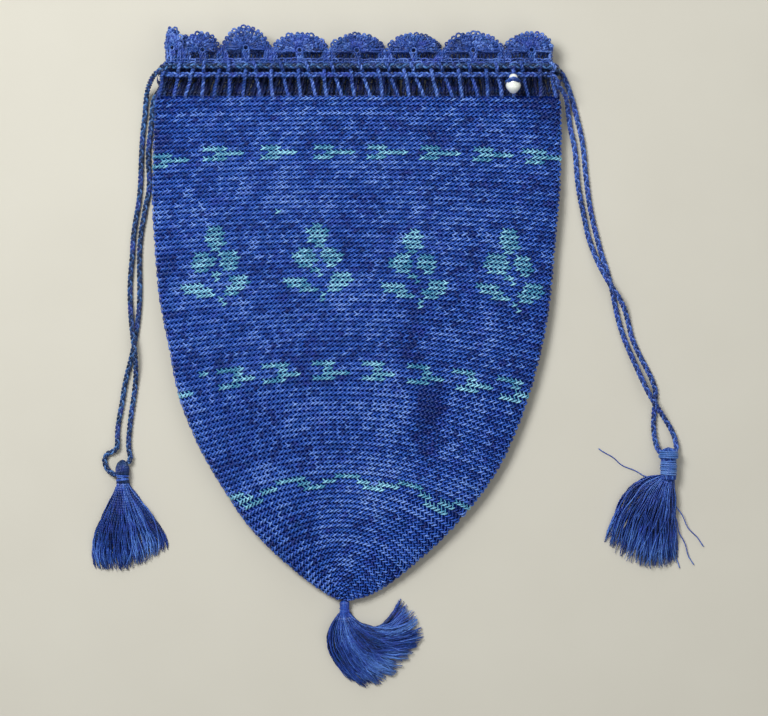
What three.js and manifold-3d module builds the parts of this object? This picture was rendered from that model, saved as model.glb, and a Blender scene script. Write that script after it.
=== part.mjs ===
// A reticule: a flat crocheted silk bag with a rounded point, an eyelet band for two
// drawstrings, a scalloped lace edge, two drawstring tassels, one tassel at the point
// and a white drop bead. It lies on its back; millimetres, +Z up, the mouth towards +Y.
// The origin is on the underside, where the resting face lies.

import * as THREE from "three";
import Module from "manifold-3d";
import { mergeVertices } from "three/addons/utils/BufferGeometryUtils.js";

const wasm = await Module();
wasm.setup();

// Driving dimensions
const clearance = 0.3; // between pieces that touch

const bagLength = 181; // mouth to point
const bagWidth = 147.4; // at the widest
const bagThickness = 10.4; // front to back, lying empty
const bagWall = 1.2;
const mouthAboveOrigin = 94.3; // along the length, from the origin to the mouth
const bagRows = 16;
const bagRowCrowding = 1.6; // above 1 the rows crowd towards the point
const bagFrontPanels = 20;
const bagBackPanels = 10;
const foldHeight = 0.42; // where the side folds lie, as a share of the thickness
const flatShare = 0.8; // how much of the back lies flat

const mouthOpening = 4.6; // free height between the front and the back of the band
const laceWall = 1.2; // thickness of the band and of the lace
const mouthLift = 2.6; // the drawstrings behind the band lift the mouth
const bandLift = 3.4;

const bandHeight = 11.9;
const bandTopWidth = 139;
const bandTopShift = 0.9; // the band leans to the right a little
const postsPerSide = 28;
const postWidth = 1.5;
const postLean = 0.8; // two posts lean together at their tops
const bandLowerRail = 1.1;
const bandUpperRail = 1.3;

const laceHeight = 13;
const laceRail = 1.2;
const laceValley = 5.5; // how high the lace stands between two scallops
const laceSag = 0.4;
const laceCup = 0.7; // how far a scallop bellies out

const cordDiameter = 2.2;
const cordSides = 8;
const lowerCordRow = 7.4; // above the mouth
const upperCordRow = 10.45;
const cordRunSteps = 10;
const cordTurnSteps = 6;

const beadLength = 7.3;
const beadDiameter = 5.4;
const beadBore = 1.4;
const beadBoreFromTop = 2.5;
const beadTilt = 0.4; // radians, the neck lies over the lower drawstring
const beadOverEyelet = 24; // the one after this many, counted from the left fold
const beadFromMouth = 0.9; // the bead's lower end, above the mouth
const beadThreadDiameter = 0.8;

const pointTasselDrop = 4.7; // from the bag's point down to its tassel's neck
const skirtLocks = 9; // locks across a tassel's skirt
const skirtPointsPerLock = 2;
const skirtRows = 6;
const skirtEdge = 0.5; // thickness at the skirt's sides
const shortLock = 0.93; // where the strands between two locks end
const lowLock = 0.8; // their height beside the locks'

// The bag's sections from the mouth to the point. along is a share of bagLength, half and
// centre are shares of half of bagWidth, thick is a share of bagThickness, lift is a
// share of mouthLift, and round is the exponent of the front's dome.
const bagSections = [
  { along: 0.0, half: 0.991, centre: 0.007, thick: 0.673, lift: 1.0, round: 12 },
  { along: 0.05, half: 0.998, centre: 0.006, thick: 0.84, lift: 0.3, round: 8 },
  { along: 0.1, half: 1.0, centre: 0.004, thick: 0.94, lift: 0.0, round: 6 },
  { along: 0.2, half: 0.998, centre: -0.003, thick: 0.99, lift: 0.0, round: 4.6 },
  { along: 0.3, half: 0.98, centre: -0.008, thick: 1.0, lift: 0.0, round: 4.2 },
  { along: 0.4, half: 0.958, centre: -0.008, thick: 1.0, lift: 0.0, round: 4 },
  { along: 0.5, half: 0.913, centre: -0.005, thick: 1.0, lift: 0.0, round: 4 },
  { along: 0.6, half: 0.854, centre: -0.013, thick: 1.0, lift: 0.0, round: 3.8 },
  { along: 0.7, half: 0.756, centre: -0.01, thick: 0.97, lift: 0.0, round: 3.6 },
  { along: 0.78, half: 0.641, centre: -0.01, thick: 0.93, lift: 0.0, round: 3.4 },
  { along: 0.85, half: 0.512, centre: -0.022, thick: 0.85, lift: 0.0, round: 3.2 },
  { along: 0.9, half: 0.393, centre: -0.027, thick: 0.76, lift: 0.0, round: 3 },
  { along: 0.94, half: 0.281, centre: -0.029, thick: 0.66, lift: 0.0, round: 2.8 },
  { along: 0.97, half: 0.185, centre: -0.03, thick: 0.55, lift: 0.0, round: 2.6 },
  { along: 0.99, half: 0.105, centre: -0.036, thick: 0.46, lift: 0.0, round: 2.4 },
  { along: 1.0, half: 0.034, centre: -0.054, thick: 0.36, lift: 0.0, round: 2.2 },
];

// Dents (and with a minus, swells) of the front. along and reachAlong are shares of
// bagLength, across and reachAcross are shares of the half width, depth is a share of
// bagThickness, and turn is in degrees.
const bagDents = [
  { along: 0.62, across: 0.34, reachAlong: 0.13, reachAcross: 0.1, turn: 12, depth: 0.085 },
  { along: 0.76, across: 0.42, reachAlong: 0.08, reachAcross: 0.12, turn: 30, depth: 0.05 },
  { along: 0.1, across: 0.5, reachAlong: 0.13, reachAcross: 0.07, turn: 0, depth: 0.05 },
  { along: 0.1, across: -0.8, reachAlong: 0.07, reachAcross: 0.12, turn: 0, depth: 0.045 },
  { along: 0.58, across: -0.62, reachAlong: 0.1, reachAcross: 0.16, turn: 0, depth: -0.035 },
  { along: 0.6, across: 0.08, reachAlong: 0.08, reachAcross: 0.12, turn: 0, depth: -0.035 },
];

// The scallops round the mouth: first the front's from left to right, then the back's
// from right to left. wide is a share of one face of the ring, rise of laceHeight.
const scallops = [
  { wide: 0.062, rise: 1.0 },
  { wide: 0.093, rise: 0.85 },
  { wide: 0.124, rise: 1.0 },
  { wide: 0.145, rise: 0.83 },
  { wide: 0.142, rise: 0.81 },
  { wide: 0.142, rise: 0.81 },
  { wide: 0.157, rise: 0.83 },
  { wide: 0.135, rise: 0.85 },
  ...Array.from({ length: 7 }, () => ({ wide: 1 / 7, rise: 0.82 })),
];

// One scallop's columns from its left edge to its right edge. foot and head are shares
// of its width at the foot and at the top of its holes, hole and edge are shares of its
// rise, and open says that the column is a hole between the foot and the head.
const scallopColumns = [
  { foot: 0.0, head: 0.0, hole: 0.34, edge: 0.5, open: false },
  { foot: 0.05, head: 0.1, hole: 0.38, edge: 0.68, open: true },
  { foot: 0.25, head: 0.2, hole: 0.48, edge: 0.86, open: true },
  { foot: 0.44, head: 0.31, hole: 0.56, edge: 0.96, open: false },
  { foot: 0.485, head: 0.38, hole: 0.6, edge: 1.0, open: true },
  { foot: 0.515, head: 0.62, hole: 0.6, edge: 1.0, open: false },
  { foot: 0.56, head: 0.69, hole: 0.56, edge: 0.96, open: true },
  { foot: 0.75, head: 0.8, hole: 0.48, edge: 0.86, open: true },
  { foot: 0.95, head: 0.9, hole: 0.38, edge: 0.68, open: false },
];

// The free drawstring ends, as they lie: x, y, z of the cord's middle.
const cordRoutes = {
  left_cord_front: [
    [-66.1, 104.75, 11.7], [-67.6, 104.6, 12.2], [-69.5, 103.4, 13.2], [-71.4, 102.2, 12.6],
    [-73.0, 100.6, 10.4], [-74.1, 99.0, 7.6], [-75.0, 97.2, 4.8], [-75.7, 95.0, 2.6],
    [-76.1, 92.4, 1.4], [-76.4, 88.2, 1.1], [-77.0, 83.2, 1.1], [-77.5, 77.0, 1.1],
    [-77.8, 70.2, 1.1], [-78.0, 63.4, 1.1], [-78.6, 56.9, 1.1], [-79.7, 50.4, 1.1],
    [-80.6, 43.9, 1.1], [-81.0, 37.1, 1.1], [-81.6, 30.2, 1.1], [-81.8, 24.1, 1.1],
    [-81.6, 18.4, 1.4], [-81.2, 13.3, 2.4], [-80.6, 8.6, 3.5], [-80.1, 4.3, 3.9],
    [-79.7, 0.0, 3.5], [-79.6, -4.3, 2.3], [-79.9, -9.4, 1.2], [-80.6, -14.8, 1.1],
    [-81.4, -20.2, 1.1], [-82.0, -25.6, 1.1], [-82.3, -29.5, 1.2], [-82.1, -33.2, 1.7],
    [-81.6, -35.7, 2.1],
  ],
  left_cord_back: [
    [-66.9, 101.7, 1.7], [-68.2, 101.5, 1.7], [-69.8, 98.7, 1.5], [-71.4, 96.6, 1.2],
    [-72.6, 94.8, 1.1], [-73.4, 92.8, 1.1], [-73.8, 89.6, 1.1], [-74.1, 85.8, 1.1],
    [-74.6, 80.6, 1.1], [-75.1, 75.8, 1.1], [-75.2, 71.1, 1.1], [-74.9, 66.4, 1.1],
    [-75.1, 60.2, 1.1], [-76.1, 55.6, 1.1], [-76.9, 50.9, 1.1], [-77.7, 46.3, 1.1],
    [-78.2, 41.7, 1.1], [-78.4, 37.0, 1.1], [-78.4, 31.7, 1.1], [-78.3, 26.3, 1.1],
    [-78.4, 20.9, 1.1], [-78.8, 15.5, 1.1], [-79.5, 10.1, 1.1], [-80.4, 4.7, 1.1],
    [-81.6, -0.7, 1.1], [-82.9, -5.8, 1.1], [-83.8, -10.1, 1.1], [-84.6, -15.5, 1.1],
    [-85.6, -20.9, 1.1], [-86.3, -26.3, 1.2], [-86.3, -30.2, 1.8], [-86.6, -32.3, 2.0],
    [-88.2, -33.4, 1.5], [-90.0, -34.3, 1.2], [-90.9, -36.0, 1.1], [-90.6, -38.4, 1.3],
    [-89.2, -40.5, 1.8], [-88.2, -41.2, 2.0],
  ],
  right_cord_front: [
    [68.5, 101.7, 11.5], [70.0, 101.4, 11.6], [71.4, 99.9, 11.4], [72.6, 97.4, 10.5],
    [74.2, 95.7, 8.3], [75.3, 93.9, 5.8], [75.9, 91.9, 3.3], [76.3, 89.4, 1.6],
    [76.7, 86.4, 1.1], [77.3, 82.6, 1.1], [78.3, 78.2, 1.1], [79.0, 73.4, 1.1],
    [79.4, 68.4, 1.1], [79.9, 63.0, 1.1], [80.8, 57.6, 1.1], [82.2, 50.8, 1.1],
    [83.6, 44.3, 1.1], [85.3, 39.2, 1.3], [87.4, 34.2, 2.4], [89.8, 29.5, 3.5],
    [92.2, 25.6, 3.8], [94.7, 21.9, 3.5], [96.6, 18.0, 2.3], [98.0, 13.4, 1.2],
    [99.2, 8.3, 1.1], [101.4, 2.9, 1.1], [104.0, -2.2, 1.1], [106.4, -7.0, 1.1],
    [107.8, -11.2, 1.1], [107.8, -14.8, 1.1], [107.4, -19.4, 1.1], [107.2, -24.1, 1.1],
    [107.6, -28.6, 1.5], [108.4, -31.9, 2.2],
  ],
  right_cord_back: [
    [67.75, 104.8, 1.9], [69.8, 104.8, 1.9], [71.9, 104.5, 1.7], [73.7, 103.4, 1.4],
    [75.0, 101.4, 1.1], [76.0, 98.9, 1.1], [77.0, 96.2, 1.1], [77.9, 93.4, 1.1],
    [78.7, 90.3, 1.1], [79.6, 86.6, 1.1], [80.6, 82.6, 1.1], [81.5, 78.2, 1.1],
    [82.1, 73.4, 1.1], [82.5, 68.4, 1.1], [83.2, 62.3, 1.1], [84.0, 56.2, 1.1],
    [85.3, 49.7, 1.1], [86.8, 43.6, 1.1], [88.4, 37.8, 1.1], [90.2, 32.4, 1.1],
    [91.4, 28.1, 1.1], [92.4, 24.1, 1.1], [93.2, 19.8, 1.1], [94.4, 14.4, 1.1],
    [96.0, 9.0, 1.1], [98.1, 3.6, 1.3], [100.6, -2.2, 2.3], [103.1, -7.9, 3.4],
    [105.4, -12.6, 4.0], [108.0, -16.9, 3.8], [110.9, -21.2, 2.3], [113.6, -25.6, 1.3],
    [115.0, -29.4, 1.8], [115.2, -32.4, 2.5],
  ],
};

// The tassels. place is the neck, where the skirt starts. A profile row gives the head's
// radius and its place above the neck in millimetres. A lock row is the way of the
// strands from the left edge of the skirt to the right edge: the middle and the end of
// the strand, as shares of the tassel's length from the neck.
const tassels = {
  left_tassel: {
    place: [-84.4, -43.0],
    length: 33,
    height: 5.2,
    head: [
      { up: 6.6, radius: 0.9 }, { up: 5.4, radius: 2.1 }, { up: 3.6, radius: 2.9 },
      { up: 1.6, radius: 2.7 }, { up: 0.2, radius: 2.0 }, { up: -1.6, radius: 2.3 },
    ],
    locks: [
      { middle: [-0.19, -0.46], end: [-0.31, -0.96] },
      { middle: [-0.08, -0.5], end: [-0.12, -0.99] },
      { middle: [0.03, -0.5], end: [0.07, -0.99] },
      { middle: [0.18, -0.44], end: [0.28, -0.89] },
      { middle: [0.31, -0.31], end: [0.5, -0.73] },
    ],
  },
  right_tassel: {
    place: [112.4, -41.8],
    length: 34,
    height: 6,
    head: [
      { up: 9.4, radius: 1.6 }, { up: 8.4, radius: 3.1 }, { up: 6.6, radius: 3.4 },
      { up: 5.4, radius: 2.5 }, { up: 3.6, radius: 2.8 }, { up: 1.2, radius: 2.7 },
      { up: -1.6, radius: 2.6 },
    ],
    locks: [
      { middle: [-0.44, -0.18], end: [-0.67, -0.71] },
      { middle: [-0.3, -0.32], end: [-0.51, -0.89] },
      { middle: [-0.17, -0.42], end: [-0.24, -1.0] },
      { middle: [-0.04, -0.47], end: [-0.03, -0.99] },
      { middle: [0.07, -0.42], end: [0.12, -0.88] },
    ],
  },
  point_tassel: {
    place: [-4.3, mouthAboveOrigin - bagLength - pointTasselDrop],
    length: 29,
    height: 5.6,
    head: [
      { up: 4.3, radius: 1.0 }, { up: 3.4, radius: 1.7 }, { up: 1.8, radius: 1.6 },
      { up: 0.6, radius: 1.5 }, { up: -1.6, radius: 2.0 },
    ],
    locks: [
      { middle: [-0.2, -0.39], end: [0.01, -0.84] },
      { middle: [-0.08, -0.57], end: [0.22, -1.0] },
      { middle: [0.19, -0.51], end: [0.54, -0.91] },
      { middle: [0.42, -0.36], end: [0.9, -0.48] },
      { middle: [0.38, -0.16], end: [0.67, 0.19] },
    ],
  },
};

// Materials
const silkBlue = new THREE.MeshStandardMaterial({ color: 0x24379c, roughness: 0.55 });
const laceBlue = new THREE.MeshStandardMaterial({ color: 0x1f318f, roughness: 0.6 });
const cordBlue = new THREE.MeshStandardMaterial({ color: 0x223a7a, roughness: 0.6 });
const tasselBlue = new THREE.MeshStandardMaterial({ color: 0x2340b4, roughness: 0.45 });
const beadWhite = new THREE.MeshStandardMaterial({ color: 0xf4f2ea, roughness: 0.15 });

// Mesh tools

function signedVolume(points, faces) {
  let total = 0;
  for (const [a, b, c] of faces) {
    total += points[a].dot(new THREE.Vector3().crossVectors(points[b], points[c]));
  }
  return total / 6;
}

// Faces are turned so that they point out.
function solidFrom(points, faces) {
  const turned = signedVolume(points, faces) < 0 ? faces.map(([a, b, c]) => [a, c, b]) : faces;
  const geometry = new THREE.BufferGeometry();
  geometry.setAttribute(
    "position",
    new THREE.Float32BufferAttribute(points.flatMap((point) => point.toArray()), 3),
  );
  geometry.setIndex(turned.flat());
  return geometry;
}

// A closed skin over rings of equal length, with a fan on the first and on the last.
function loft(rings) {
  const count = rings[0].length;
  const points = rings.flat();
  const faces = [];
  for (let row = 0; row + 1 < rings.length; row += 1) {
    for (let i = 0; i < count; i += 1) {
      const a = row * count + i;
      const b = row * count + ((i + 1) % count);
      faces.push([a, b, a + count], [b, b + count, a + count]);
    }
  }
  for (const [ring, start, flip] of [[rings[0], 0, true], [rings.at(-1), points.length - count, false]]) {
    const centre = ring.reduce((sum, point) => sum.add(point), new THREE.Vector3());
    const hub = points.push(centre.divideScalar(count)) - 1;
    for (let i = 0; i < count; i += 1) {
      const a = start + i;
      const b = start + ((i + 1) % count);
      faces.push(flip ? [b, a, hub] : [a, b, hub]);
    }
  }
  return solidFrom(points, faces);
}

// A closed ring-shaped wall made of cells, with the cells that aren't solid left out.
// pointAt(column, row, inner) places a corner, isSolid(column, row) says what is there.
function piercedRing(columns, rows, pointAt, isSolid) {
  const points = [];
  for (const inner of [false, true]) {
    for (let row = 0; row <= rows; row += 1) {
      for (let column = 0; column < columns; column += 1) {
        points.push(pointAt(column, row, inner));
      }
    }
  }
  const corner = (column, row, inner) => {
    const wrapped = (column + columns) % columns;
    return (inner ? (rows + 1) * columns : 0) + row * columns + wrapped;
  };
  const faces = [];
  const quad = (a, b, c, d) => faces.push([a, b, c], [a, c, d]);
  const filled = (column, row) =>
    row >= 0 && row < rows && isSolid((column + columns) % columns, row);
  const wall = (c0, r0, c1, r1) => {
    quad(corner(c0, r0, false), corner(c0, r0, true), corner(c1, r1, true), corner(c1, r1, false));
  };
  for (let row = 0; row < rows; row += 1) {
    for (let column = 0; column < columns; column += 1) {
      if (!filled(column, row)) continue;
      const next = column + 1;
      quad(
        corner(column, row, false), corner(next, row, false),
        corner(next, row + 1, false), corner(column, row + 1, false),
      );
      quad(
        corner(column, row, true), corner(column, row + 1, true),
        corner(next, row + 1, true), corner(next, row, true),
      );
      if (!filled(column, row - 1)) wall(column, row, next, row);
      if (!filled(column, row + 1)) wall(next, row + 1, column, row + 1);
      if (!filled(column - 1, row)) wall(column, row + 1, column, row);
      if (!filled(next, row)) wall(next, row, next, row + 1);
    }
  }
  const used = [...new Set(faces.flat())].sort((a, b) => a - b);
  const renumber = new Map(used.map((old, index) => [old, index]));
  return solidFrom(
    used.map((index) => points[index]),
    faces.map((face) => face.map((index) => renumber.get(index))),
  );
}

function toManifold(geometry) {
  const bare = geometry.clone();
  bare.deleteAttribute("normal");
  bare.deleteAttribute("uv");
  const merged = mergeVertices(bare);
  return new wasm.Manifold(
    new wasm.Mesh({
      numProp: 3,
      vertProperties: new Float32Array(merged.getAttribute("position").array),
      triVerts: new Uint32Array(merged.getIndex().array),
    }),
  );
}

function fromManifold(solid) {
  const mesh = solid.getMesh();
  const geometry = new THREE.BufferGeometry();
  geometry.setAttribute("position", new THREE.Float32BufferAttribute(mesh.vertProperties, 3));
  geometry.setIndex(new THREE.Uint32BufferAttribute(mesh.triVerts, 1));
  return geometry;
}

// A table's value between its rows, on a curve through the rows.
function readTable(table, key, at, value) {
  let row = 0;
  while (row + 2 < table.length && table[row + 1][key] < at) row += 1;
  const before = table[Math.max(row - 1, 0)];
  const [from, to] = [table[row], table[row + 1]];
  const after = table[Math.min(row + 2, table.length - 1)];
  const span = to[key] - from[key];
  const t = THREE.MathUtils.clamp((at - from[key]) / span, 0, 1);
  const slopeFrom = ((to[value] - before[value]) / (to[key] - before[key])) * span;
  const slopeTo = ((after[value] - from[value]) / (after[key] - from[key])) * span;
  const t2 = t * t;
  const t3 = t2 * t;
  return (
    (2 * t3 - 3 * t2 + 1) * from[value] +
    (t3 - 2 * t2 + t) * slopeFrom +
    (3 * t2 - 2 * t3) * to[value] +
    (t3 - t2) * slopeTo
  );
}

// The bag

function dentDepth(along, across) {
  let depth = 0;
  for (const dent of bagDents) {
    const turn = THREE.MathUtils.degToRad(dent.turn);
    const alongStep = (along - dent.along) * bagLength;
    const acrossStep = ((across - dent.across) * bagWidth) / 2;
    const lengthwise = alongStep * Math.cos(turn) + acrossStep * Math.sin(turn);
    const sideways = acrossStep * Math.cos(turn) - alongStep * Math.sin(turn);
    const reach = (lengthwise / (dent.reachAlong * bagLength)) ** 2 +
      (sideways / ((dent.reachAcross * bagWidth) / 2)) ** 2;
    depth += dent.depth * bagThickness * Math.exp(-reach);
  }
  return depth;
}

// One section: the front is a dome, the back is flat with rounded sides.
function bagRing(along, inset) {
  const section = (value) => readTable(bagSections, "along", along, value);
  const half = (section("half") * bagWidth) / 2 - inset;
  const centre = (section("centre") * bagWidth) / 2;
  const thick = section("thick") * bagThickness - 2 * inset;
  const low = section("lift") * mouthLift + inset;
  const y = mouthAboveOrigin - along * bagLength;
  const ring = [];
  for (let i = 0; i < bagFrontPanels; i += 1) {
    const across = -Math.cos((Math.PI * i) / bagFrontPanels);
    const dome = Math.sqrt(1 - Math.abs(across) ** section("round"));
    const dent = dentDepth(along, across) * dome;
    const z = low + thick * (foldHeight + (1 - foldHeight) * dome) - dent;
    ring.push(new THREE.Vector3(centre + half * across, y, z));
  }
  for (let i = 0; i < bagBackPanels; i += 1) {
    const across = Math.cos((Math.PI * i) / bagBackPanels);
    const beyond = Math.max(0, (Math.abs(across) - flatShare) / (1 - flatShare));
    const z = low + thick * foldHeight * (1 - Math.sqrt(1 - Math.min(beyond, 1) ** 2));
    ring.push(new THREE.Vector3(centre + half * across, y, z));
  }
  return ring;
}

function bagBody() {
  const alongAt = (row) => 1 - (1 - row / bagRows) ** bagRowCrowding;
  const innerEnd = 1 - (2 * bagWall) / bagLength;
  const rings = [];
  for (let row = bagRows; row >= 0; row -= 1) rings.push(bagRing(alongAt(row), 0));
  for (let row = 0; row < bagRows; row += 1) {
    rings.push(bagRing(alongAt(row) * innerEnd, bagWall));
  }
  return loft(rings);
}

// The mouth's ring: a flattened loop with a half round at each side fold. share runs from
// the left fold over the front to the right fold and back behind; grow is how far the
// point stands outside the ring.
function mouthRing(share, half, thick, grow) {
  const radius = thick / 2;
  const face = 2 * (half - radius);
  const turn = Math.PI * radius;
  const whole = 2 * (face + turn);
  let way = (((share % 1) + 1) % 1) * whole;
  const onTurn = (side, angle) => [
    side * (half - radius) + Math.cos(angle) * (radius + grow),
    Math.sin(angle) * (radius + grow),
  ];
  if (way < turn / 2) return onTurn(-1, Math.PI - way / radius);
  way -= turn / 2;
  if (way < face) return [-(half - radius) + way, radius + grow];
  way -= face;
  if (way < turn) return onTurn(1, Math.PI / 2 - way / radius);
  way -= turn;
  if (way < face) return [half - radius - way, -radius - grow];
  return onTurn(-1, -Math.PI / 2 - (way - face) / radius);
}

const mouthHalf = (bagSections[0].half * bagWidth) / 2;
const mouthCentre = (bagSections[0].centre * bagWidth) / 2;
const mouthThickness = mouthOpening + 2 * laceWall;

// Half width, centre and underside of the band at a height above the mouth.
function bandShape(up) {
  const share = THREE.MathUtils.clamp(up / bandHeight, 0, 1);
  return {
    half: THREE.MathUtils.lerp(mouthHalf, bandTopWidth / 2, share),
    centre: THREE.MathUtils.lerp(mouthCentre, bandTopShift, share),
    low: THREE.MathUtils.lerp(mouthLift, bandLift, share),
  };
}

function bandPoint(share, up, grow) {
  const { half, centre, low } = bandShape(up);
  const [x, z] = mouthRing(share, half, mouthThickness, grow);
  return new THREE.Vector3(centre + x, mouthAboveOrigin + up, low + mouthThickness / 2 + z);
}

// Half of the ring at the band's top, along which the posts are spaced.
const bandFace = bandTopWidth - mouthThickness + (Math.PI * mouthThickness) / 2;

function eyeletBand() {
  const posts = 2 * postsPerSide;
  const top = bandHeight - clearance;
  const heights = [clearance, clearance + bandLowerRail, top - bandUpperRail, top];
  const postShare = postWidth / (2 * bandFace);
  const pointAt = (column, row, inner) => {
    const post = Math.floor(column / 2);
    const lean = (row < 2 ? 0 : postLean) * (post % 2 ? -1 : 1);
    const side = (column % 2 ? 0.5 : -0.5) * postShare;
    const share = post / posts + side + lean / (2 * bandFace);
    return bandPoint(share, heights[row], inner ? -laceWall : 0);
  };
  return piercedRing(2 * posts, 3, pointAt, (column, row) => row !== 1 || column % 2 === 0);
}

// The lace stands on the band and repeats one scallop, each with its own width and rise.
function shellEdging() {
  const perScallop = scallopColumns.length;
  const starts = [];
  let start = 0;
  for (const scallop of scallops) {
    starts.push(start);
    start += scallop.wide / 2;
  }
  const pointAt = (column, row, inner) => {
    const index = Math.floor(column / perScallop);
    const scallop = scallops[index];
    const shape = scallopColumns[column % perScallop];
    const rise = laceHeight * scallop.rise;
    const edge = column % perScallop === 0 ? laceValley : rise * shape.edge;
    const hole = Math.min(rise * shape.hole, edge - laceRail);
    const up = [clearance, clearance + laceRail, hole, edge][row];
    const across = row < 2 ? shape.foot : shape.head;
    const share = starts[index] + (across * scallop.wide) / 2;
    const belly = laceCup * Math.sin(Math.PI * across) * (up / laceHeight);
    const point = bandPoint(share, bandHeight, inner ? -laceWall : 0);
    point.y += up;
    point.z += Math.sign(0.5 - share) * belly - (laceSag * up) / laceHeight;
    return point;
  };
  const isSolid = (column, row) => row !== 1 || !scallopColumns[column % perScallop].open;
  return piercedRing(scallops.length * perScallop, 3, pointAt, isSolid);
}

// Cords

// Steps of the sweep fall on the route's own points.
class CordRoute extends THREE.CatmullRomCurve3 {
  getUtoTmapping(u) {
    return u;
  }
}

function roundSection(diameter) {
  const section = new THREE.Shape();
  for (let i = 0; i < cordSides; i += 1) {
    const angle = (2 * Math.PI * (i + 0.5)) / cordSides;
    const [x, y] = [(Math.cos(angle) * diameter) / 2, (Math.sin(angle) * diameter) / 2];
    if (i === 0) section.moveTo(x, y);
    else section.lineTo(x, y);
  }
  section.closePath();
  return section;
}

function cordAlong(points, diameter) {
  return new THREE.ExtrudeGeometry(roundSection(diameter), {
    steps: points.length - 1,
    extrudePath: new CordRoute(points),
    bevelEnabled: false,
  });
}

// A drawstring's run through the band: along the front on one row, round one side fold
// and back behind on the other row. side is where its two free ends come out.
function drawstringRun(side, frontRow, backRow) {
  const grow = clearance + cordDiameter / 2;
  const radius = mouthThickness / 2 + grow;
  const points = [];
  const corner = (row, sign) => {
    const { half, centre, low } = bandShape(row);
    return { x: centre + sign * (half - mouthThickness / 2), mid: low + mouthThickness / 2 };
  };
  const straight = (row, fromSide, upward) => {
    const [from, to] = [corner(row, fromSide), corner(row, -fromSide)];
    for (let i = 0; i <= cordRunSteps; i += 1) {
      const x = THREE.MathUtils.lerp(from.x, to.x, i / cordRunSteps);
      points.push(new THREE.Vector3(x, mouthAboveOrigin + row, from.mid + upward * radius));
    }
  };
  straight(frontRow, side, 1);
  for (let i = 1; i < cordTurnSteps; i += 1) {
    const share = i / cordTurnSteps;
    const row = THREE.MathUtils.lerp(frontRow, backRow, share);
    const { x, mid } = corner(row, -side);
    const angle = Math.PI * (0.5 - share);
    points.push(
      new THREE.Vector3(
        x - side * Math.cos(angle) * radius,
        mouthAboveOrigin + row,
        mid + Math.sin(angle) * radius,
      ),
    );
  }
  straight(backRow, -side, -1);
  return cordAlong(points, cordDiameter);
}

function freeCord(name) {
  return cordAlong(cordRoutes[name].map(([x, y, z]) => new THREE.Vector3(x, y, z)), cordDiameter);
}

// Tassels

// A strand's place: from the neck through its middle to its end, as one quadratic.
function strandPoint(tassel, share, t) {
  const place = share * (tassel.locks.length - 1);
  const row = Math.min(Math.floor(place), tassel.locks.length - 2);
  const between = place - row;
  const value = (key, axis) =>
    THREE.MathUtils.lerp(tassel.locks[row][key][axis], tassel.locks[row + 1][key][axis], between);
  const neck = tassel.head.at(-1).radius;
  const start = [(2 * share - 1) * neck * 0.9, 0];
  return [0, 1].map((axis) => {
    const [middle, end] = [value("middle", axis), value("end", axis)];
    const bend = 4 * t * (1 - t) * middle + t * (2 * t - 1) * end;
    return tassel.place[axis] + start[axis] * (1 - t) * (1 - 2 * t) + tassel.length * bend;
  });
}

// The skirt: strands side by side from the left edge to the right, gathered into locks
// that stand proud and end at different lengths.
function tasselSkirt(tassel) {
  const across = skirtLocks * skirtPointsPerLock;
  const rings = [];
  for (let row = 0; row <= skirtRows; row += 1) {
    const t = row / skirtRows;
    const ring = [];
    for (let i = 0; i <= across; i += 1) {
      const share = i / across;
      const ridge = i % skirtPointsPerLock;
      const reach = t * (ridge ? 1 : shortLock);
      const dome = Math.sqrt(1 - Math.abs(2 * share - 1) ** 3);
      // thick at the neck, thickest a third of the way down, thin at the hem
      const full = tassel.height * (0.75 + 0.9 * t - 1.35 * t * t) * (ridge ? 1 : lowLock);
      const [x, y] = strandPoint(tassel, share, reach);
      ring.push(new THREE.Vector3(x, y, skirtEdge + dome * (full - skirtEdge)));
    }
    for (let i = across; i >= 0; i -= skirtPointsPerLock) {
      const share = i / across;
      const [x, y] = strandPoint(tassel, share, t * shortLock);
      ring.push(new THREE.Vector3(x, y, 0));
    }
    rings.push(ring);
  }
  return loft(rings);
}

function tasselHead(tassel) {
  const rows = tassel.head;
  const widest = Math.max(...rows.map((row) => row.radius));
  const profile = [
    new THREE.Vector2(0, rows.at(-1).up),
    ...rows.map((row) => new THREE.Vector2(row.radius, row.up)).reverse(),
    new THREE.Vector2(0, rows[0].up),
  ];
  const head = new THREE.LatheGeometry(profile, 10);
  head.translate(tassel.place[0], tassel.place[1], widest);
  return head;
}

function tasselSolid(name) {
  const tassel = tassels[name];
  return fromManifold(toManifold(tasselSkirt(tassel)).add(toManifold(tasselHead(tassel))));
}

// The bead and its thread

// A drop with its widest part at a third of its length, around its own Y axis.
const beadProfile = [
  { up: -0.32, radius: 0 },
  { up: -0.27, radius: 0.52 },
  { up: -0.12, radius: 0.92 },
  { up: 0.04, radius: 1 },
  { up: 0.2, radius: 0.84 },
  { up: 0.36, radius: 0.64 },
  { up: 0.52, radius: 0.56 },
  { up: 0.63, radius: 0.42 },
  { up: 0.68, radius: 0 },
];
const beadHoleShare = (beadOverEyelet + 0.5) / (2 * postsPerSide);
const beadHoleCentre = bandPoint(beadHoleShare, beadFromMouth + beadLength / 2, 0);
const bandFront = bandLift + mouthThickness;
const beadPlace = new THREE.Vector3(
  beadHoleCentre.x,
  mouthAboveOrigin + beadFromMouth - beadProfile[0].up * beadLength,
  bandFront + clearance + beadDiameter / 2,
);

const beadTop = beadProfile.at(-1).up * beadLength;

function whiteBead() {
  const profile = beadProfile.map(
    (row) => new THREE.Vector2((row.radius * beadDiameter) / 2, row.up * beadLength),
  );
  const drop = new THREE.LatheGeometry(profile, 16);
  const bore = new THREE.CylinderGeometry(beadBore / 2, beadBore / 2, beadDiameter, 10);
  bore.rotateZ(Math.PI / 2);
  bore.translate(0, beadTop - beadBoreFromTop, 0);
  return fromManifold(toManifold(drop).subtract(toManifold(bore)));
}

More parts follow.
